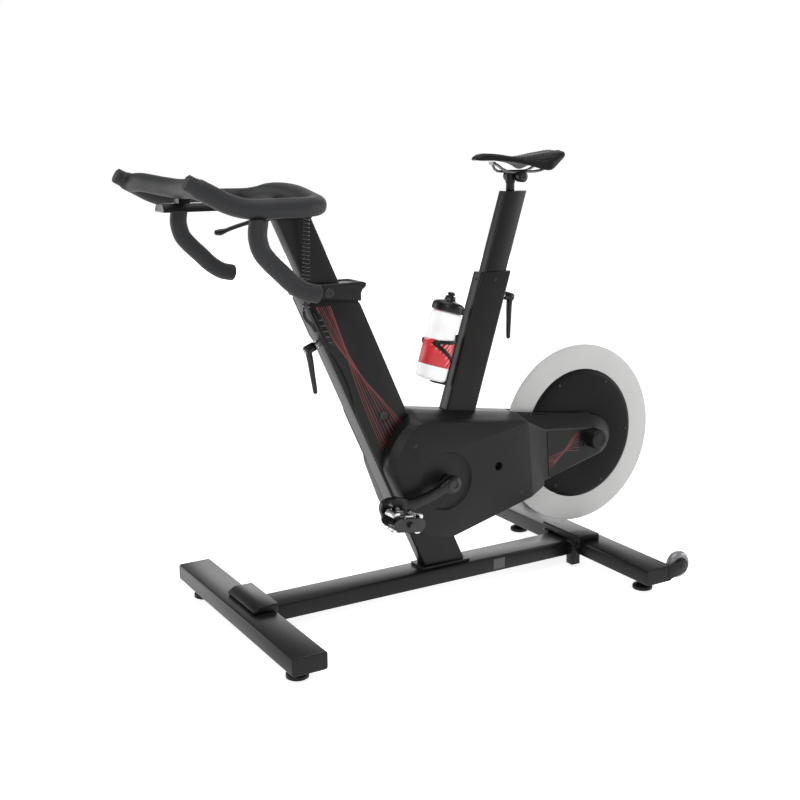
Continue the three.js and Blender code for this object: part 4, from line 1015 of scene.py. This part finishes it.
# ---------------- flywheel and drive
AXLE = at(0, 0, AXLE_Z)
bm = bmesh.new()
rim = [
    (167.8, -7), (226, -7), (228.5, -6.3), (229.7, -5), (230, -3.5), (230, 3.5), (229.7, 5), (228.5, 6.3),
    (226, 7), (167.8, 7),
]
lathe(bm, rim, AXLE, "y", 180)
remake("flywheel_rim", bm, RING_GREY, "flywheel_ring", 30)
bm = bmesh.new()
disc = [
    (8.4, -13), (156, -13), (159, -12.4), (166.5, -8), (167.4, -6.6), (167.4, 6.6), (166.5, 8), (159, 12.4),
    (156, 13),
]
disc += [(60, 13), (57, 12), (54, 13), (34, 13), (32, 19), (8.4, 19)]
lathe(bm, disc, AXLE, "y", 144)
remake("flywheel_web", bm, DISC_BLACK, "flywheel_disc", 35)
SCREW_CIRCLE = 150
bm = bmesh.new()
for k in range(6):
    angle = math.radians(2 + 60 * k)
    for side in (1, -1):
        x, z = SCREW_CIRCLE * math.cos(angle), SCREW_CIRCLE * math.sin(angle)
        screw(bm, at(x, side * 13, AXLE_Z + z), (0, side, 0), 3.4, 1.2)
add("flywheel_screws", bm, SCREW_BLACK, "flywheel", "disc_black", smooth=35)
DRIVE = ("flywheel_pulley", "flywheel_axle", "left_frame_arm", "right_frame_arm", "drive_belt")
DRIVE += ("bottom_bracket_shell", "crank_spindle", "drive_pulley", "brake_magnets", "brake_motor")
for name in DRIVE:
    skin(name, smooth=35)

CLUB = [
    (449, 316), (466, 309), (482, 300), (500, 292), (517, 286), (540, 281), (562, 278.5), (584, 280.5),
    (603, 287), (620.6, 290), (637, 285), (645, 273), (643, 257), (634, 240), (618, 230), (602, 229),
    (586, 237), (570, 248), (545, 257), (512, 265), (484, 275), (468, 280), (456, 277), (446, 276.4),
    (436, 281), (430.5, 290), (430, 299), (434, 308), (441, 314),
]
club_line = spline([Vector((x, 0, z)) for x, z in CLUB + CLUB[:1]], 110)[:-1]
crank_outline = [(p.x, p.z) for p in club_line]


def half_turn(x, y, z):
    """Places a point of the left crank on the right crank, half a turn round the crank's axis."""
    return at(2 * CRANK_X - x, -y, 2 * CRANK_Z - z)


CRANK_LENGTH, CRANK_DIP = 170, math.radians(16.4)
PEDAL_X = CRANK_X + CRANK_LENGTH * math.cos(CRANK_DIP)
PEDAL_Z = CRANK_Z - CRANK_LENGTH * math.sin(CRANK_DIP)
for side, place in (("left", at), ("right", half_turn)):
    sign = 1 if side == "left" else -1
    bm = bmesh.new()
    prism(bm, crank_outline, 95, 112, place, 2.6)
    holes = []
    for x, z in ((622, 274), (604, 262)):
        centre = place(x, 0, z)
        hole = bmesh.new()
        lathe(hole, [(0, 80), (6.2, 80), (6.2, 130), (0, 130)], Vector((centre.x, 0, centre.z)), "y", 28)
        holes.append(both(hole, sign))
    bm = carved(bm, *holes)
    hub = bmesh.new()
    lathe(hub, [(12.4, 84), (18, 84), (18.6, 85), (18.6, 96), (12.4, 96)], at(CRANK_X, 0, CRANK_Z), "y", 48)
    lathe(
        hub,
        [
            (0, 104.4), (12, 104.4), (15.4, 110.6), (15.6, 113.4), (13.6, 114.8), (8, 114.9), (7, 112.6),
            (0, 112.6),
        ],
        at(CRANK_X, 0, CRANK_Z), "y", 48,
    )
    spot = place(PEDAL_X, 0, PEDAL_Z)
    lathe(
        hub, [(0, 111), (10.5, 111), (10.5, 114.5), (7, 115.5), (7, 195), (6, 196), (0, 196)],
        Vector((spot.x, 0, spot.z)), "y", 36,
    )
    remake(f"{side}_crank_arm", bm, LEVER_BLACK, f"{side}_crank", 38)
    add(f"{side}_crank_hub", both(hub, sign), SCREW_BLACK, "crankset", "lever_black", smooth=38)

# Clip pedal: a black body with a sprung bright binding above and below. x runs forward, z up.
PEDAL_TILT = math.radians(-8)
for side, place in (("left", at), ("right", half_turn)):
    sign = 1 if side == "left" else -1
    body_name = f"pedal_{side}"
    spot = place(PEDAL_X, 0, PEDAL_Z)

    def put(x, y, z, spot=spot, sign=sign):
        c, s = math.cos(PEDAL_TILT), math.sin(PEDAL_TILT)
        return spot + Vector((c * x + s * z, sign * y, -s * x + c * z)) * MM

    lower = bmesh.new()
    shape = rounded(
        [
            (-34, -8), (-27, -13), (-10, -12), (12, -12), (27, -13), (36, -6), (36, 5), (27, 11), (10, 10),
            (-10, 10), (-26, 11), (-34, 6),
        ],
        4, 3,
    )
    prism(lower, shape, 122, 184, put, 2.2)
    cheek = [(-37, -7), (-30, -15), (30, -15), (38, -6), (38, 6), (30, 13), (-30, 13), (-37, 7)]
    for y0, y1 in ((120.5, 126), (181, 186)):
        prism(lower, rounded(cheek, 6, 3), y0, y1, put, 1.2)
    bore = [(0, 100), (7.4, 100), (7.4, 220), (0, 220)]
    bore = both(lathe(bmesh.new(), bore, Vector((spot.x, 0, spot.z)), "y", 32), sign)
    lower = carved(lower, bore)
    add(f"{side}_pedal_body", lower, SCREW_BLACK, body_name, "lever_black", [f"{side}_pedal"], 38)
    clip = bmesh.new()
    for flip in (1, -1):
        def turned_put(x, y, z, flip=flip, put=put):
            return put(flip * x, y, flip * z)

        claw = [
            (22, 10), (36, 10), (38, 16), (33, 22.5), (24, 23), (23, 20), (30, 18.5), (31, 14.5), (22, 14),
        ]
        prism(clip, rounded(claw, 2.4, 3), 134, 172, turned_put, 1.0)
        rear_claw = [
            (-16, 11), (-35, 10), (-38, 15), (-34, 21), (-24, 23), (-19, 21), (-22, 19), (-30, 17.5),
            (-30, 14.5), (-16, 14.5),
        ]
        prism(clip, rounded(rear_claw, 2.4, 3), 132, 174, turned_put, 1.0)
        block(clip, (-14, 138, 11), (20, 168, 15.5), 1.0, turned_put)
        block(clip, (-10, 130, 10.5), (10, 134, 19), 1.2, turned_put)
        block(clip, (-10, 172, 10.5), (10, 176, 19), 1.2, turned_put)
        spring = []
        for k in range(73):
            angle = 2 * math.pi * k / 12
            x, z = -26 + 4.2 * math.cos(angle), 14 + 4.2 * math.sin(angle)
            spring.append(turned_put(x, 137 + 32 * k / 72, z))
        sweep(clip, spring, lambda t: (1.3, 1.3), lambda t: Vector((0.1, 0.3, 0.9)), 0, sides=7)
        head = turned_put(-37, 153, 15) - turned_put(-30, 153, 15)
        screw(clip, turned_put(-36.4, 153, 14.5), head.normalized(), 3.4, 2)
    add(f"{side}_pedal_binding", clip, STEEL, body_name, "pedal_metal", smooth=38)

# ---------------- bottle and cage
BOTTLE_LEAN = math.radians(-17)
bottle_turn = Matrix.Rotation(BOTTLE_LEAN, 4, "Y")
BASE = at(449.5, 0, 527)
up_bottle = placer(BASE, bottle_turn)

wall = [
    (0, 1.5), (26, 1.5), (30, 0), (34, 1), (37, 5), (37.5, 10), (37.5, 96), (36.8, 101), (34.6, 107),
    (33.6, 112), (33.6, 119),
]
wall += [
    (34.6, 124), (36.8, 129), (37.5, 134), (37.5, 154), (36.6, 160), (33.5, 164.5), (30, 165.2),
    (29.5, 166), (29.5, 176), (0, 176),
]
bm = lathe(bmesh.new(), wall, BASE, bottle_turn, 96)
remake("bottle_wall", bm, BOTTLE_WHITE, "bottle_body", 50)
band = [(37.5, 34), (37.85, 34.3), (37.85, 95.4), (37.5, 95.8), (37.2, 95), (37.2, 35)]
add(
    "bottle_print", lathe(bmesh.new(), band, BASE, bottle_turn, 96), BAND_RED, "bottle", "bottle_white",
    smooth=50,
)
lid = [(29.8, 165.6), (37.2, 165.6), (38, 166.6), (38, 182), (36.6, 185.4), (31, 189), (17, 192.4)]
lid += [(14.4, 194), (12.6, 199), (11.6, 204), (6.5, 204), (6.5, 177), (29.8, 177)]
bm = lathe(bmesh.new(), lid, BASE, bottle_turn, 96)
for k in range(36):
    angle = 2 * math.pi * k / 36
    turn = bottle_turn @ Matrix.Rotation(angle, 4, "Z")
    block(bm, (37.2, -1.1, 168), (38.7, 1.1, 181), 0.5, placer(BASE, turn))
remake("bottle_cap", bm, LEVER_BLACK, "bottle_lid", 40)
spout = [(0, 178), (6, 178), (6, 204.6), (8.6, 205.6), (9.2, 208), (8.8, 211), (7.6, 212.4), (0, 212.4)]
nub = [(0, 212), (5.2, 212), (5.6, 213.6), (4.8, 216), (2.6, 217), (0, 216.6)]
remake("bottle_valve", lathe(bmesh.new(), spout, BASE, bottle_turn, 40), LEVER_BLACK, "bottle_spout", 50)
add(
    "bottle_valve_nub", lathe(bmesh.new(), nub, BASE, bottle_turn, 40), BOTTLE_WHITE, "spout",
    "bottle_white", smooth=50,
)

STRAP_RADIUS = 40.2
UP = bottle_turn @ Vector((0, 0, 1))


def on_strap(degrees, side, height):
    """A point of the cage's strap, by its angle round the bottle from the front."""
    angle = math.radians(degrees)
    return up_bottle(STRAP_RADIUS * math.cos(angle), side * STRAP_RADIUS * math.sin(angle), height)


bm = bmesh.new()
for side in (1, -1):
    line = []
    for k in range(9):
        line.append(on_strap(172 - 16.8 * k, side, 106 - 2.2 * k))
    for k in range(1, 9):
        line.append(on_strap(37.6 + 16.2 * k, side, 88.4 - 5.5 * k))
    sweep(bm, line, lambda t: (1.8, 4.6), lambda tangent: tangent.cross(UP), 90, sides=12)
block(bm, (-43.4, -9, -5.6), (-6, 9, -0.8), 1.6, up_bottle)
back_plate = [(-43.4, -4), (-39, -4), (-38.6, 40), (-38.6, 118), (-43.4, 118)]
prism(bm, rounded(back_plate, 2, 3), -8, 8, up_bottle, 1.2)
remake("bottle_holder", bm, CAP_BLACK, "bottle_cage", 45)
bm = bmesh.new()
for z in (34, 98):
    screw(bm, up_bottle(-38.6, 0, z), bottle_turn @ Vector((1, 0, 0)), 3.6, 0.9)
add("bottle_holder_screws", bm, STEEL, "frame", "bright_steel", smooth=35)

# ---------------- floor and light
FLOOR_WHITE = shade(
    "floor", (0.8, 0.8, 0.8), 0.8, bump=0.0, vary=0.0,
    Emission_Strength=0.74, Emission_Color=(1, 1, 1, 1), shine=0.1,
)
bm = bmesh.new()
bmesh.ops.create_grid(bm, x_segments=1, y_segments=1, size=14)
floor_mesh = bpy.data.meshes.new("floor")
bm.to_mesh(floor_mesh)
bm.free()
floor_mesh.materials.append(FLOOR_WHITE)
floor = bpy.data.objects.new("floor", floor_mesh)
bpy.context.scene.collection.objects.link(floor)

world = bpy.data.worlds.new("studio")
world.use_nodes = True
sky = world.node_tree
white = sky.nodes["Background"]
white.inputs["Color"].default_value = (1, 1, 1, 1)
white.inputs["Strength"].default_value = 1.0
dim = node(sky, "ShaderNodeBackground", Strength=0.35)
dim.inputs["Color"].default_value = (1, 1, 1, 1)
rays = node(sky, "ShaderNodeLightPath")
blend = node(sky, "ShaderNodeMixShader")
sky.links.new(rays.outputs["Is Camera Ray"], blend.inputs[0])
sky.links.new(dim.outputs[0], blend.inputs[1])
sky.links.new(white.outputs[0], blend.inputs[2])
sky.links.new(blend.outputs[0], sky.nodes["World Output"].inputs["Surface"])
bpy.context.scene.world = world


def softbox(name, place, target, size, power):
    """A square area light, in metres and watts, that faces its target."""
    data = bpy.data.lights.new(name, "AREA")
    data.energy = power
    data.size = size
    lamp = bpy.data.objects.new(name, data)
    bpy.context.scene.collection.objects.link(lamp)
    lamp.location = place
    lamp.rotation_mode = "QUATERNION"
    lamp.rotation_quaternion = (Vector(target) - Vector(place)).to_track_quat("-Z", "Y")


softbox("top_light", (0.2, 0.2, 3.4), (0.1, 0, 0.4), 2.8, 75)
softbox("side_light", (2.2, 2.9, 2.0), (0.1, 0, 0.5), 1.4, 36)
softbox("tail_light", (-3.4, 1.3, 1.1), (-0.2, 0, 0.4), 1.6, 45)
softbox("back_light", (-4.4, -6.4, 1.8), (0, 0, 0.5), 6, 230)
softbox("front_light", (3.0, -3.6, 1.1), (0.4, 0, 0.3), 2.2, 60)
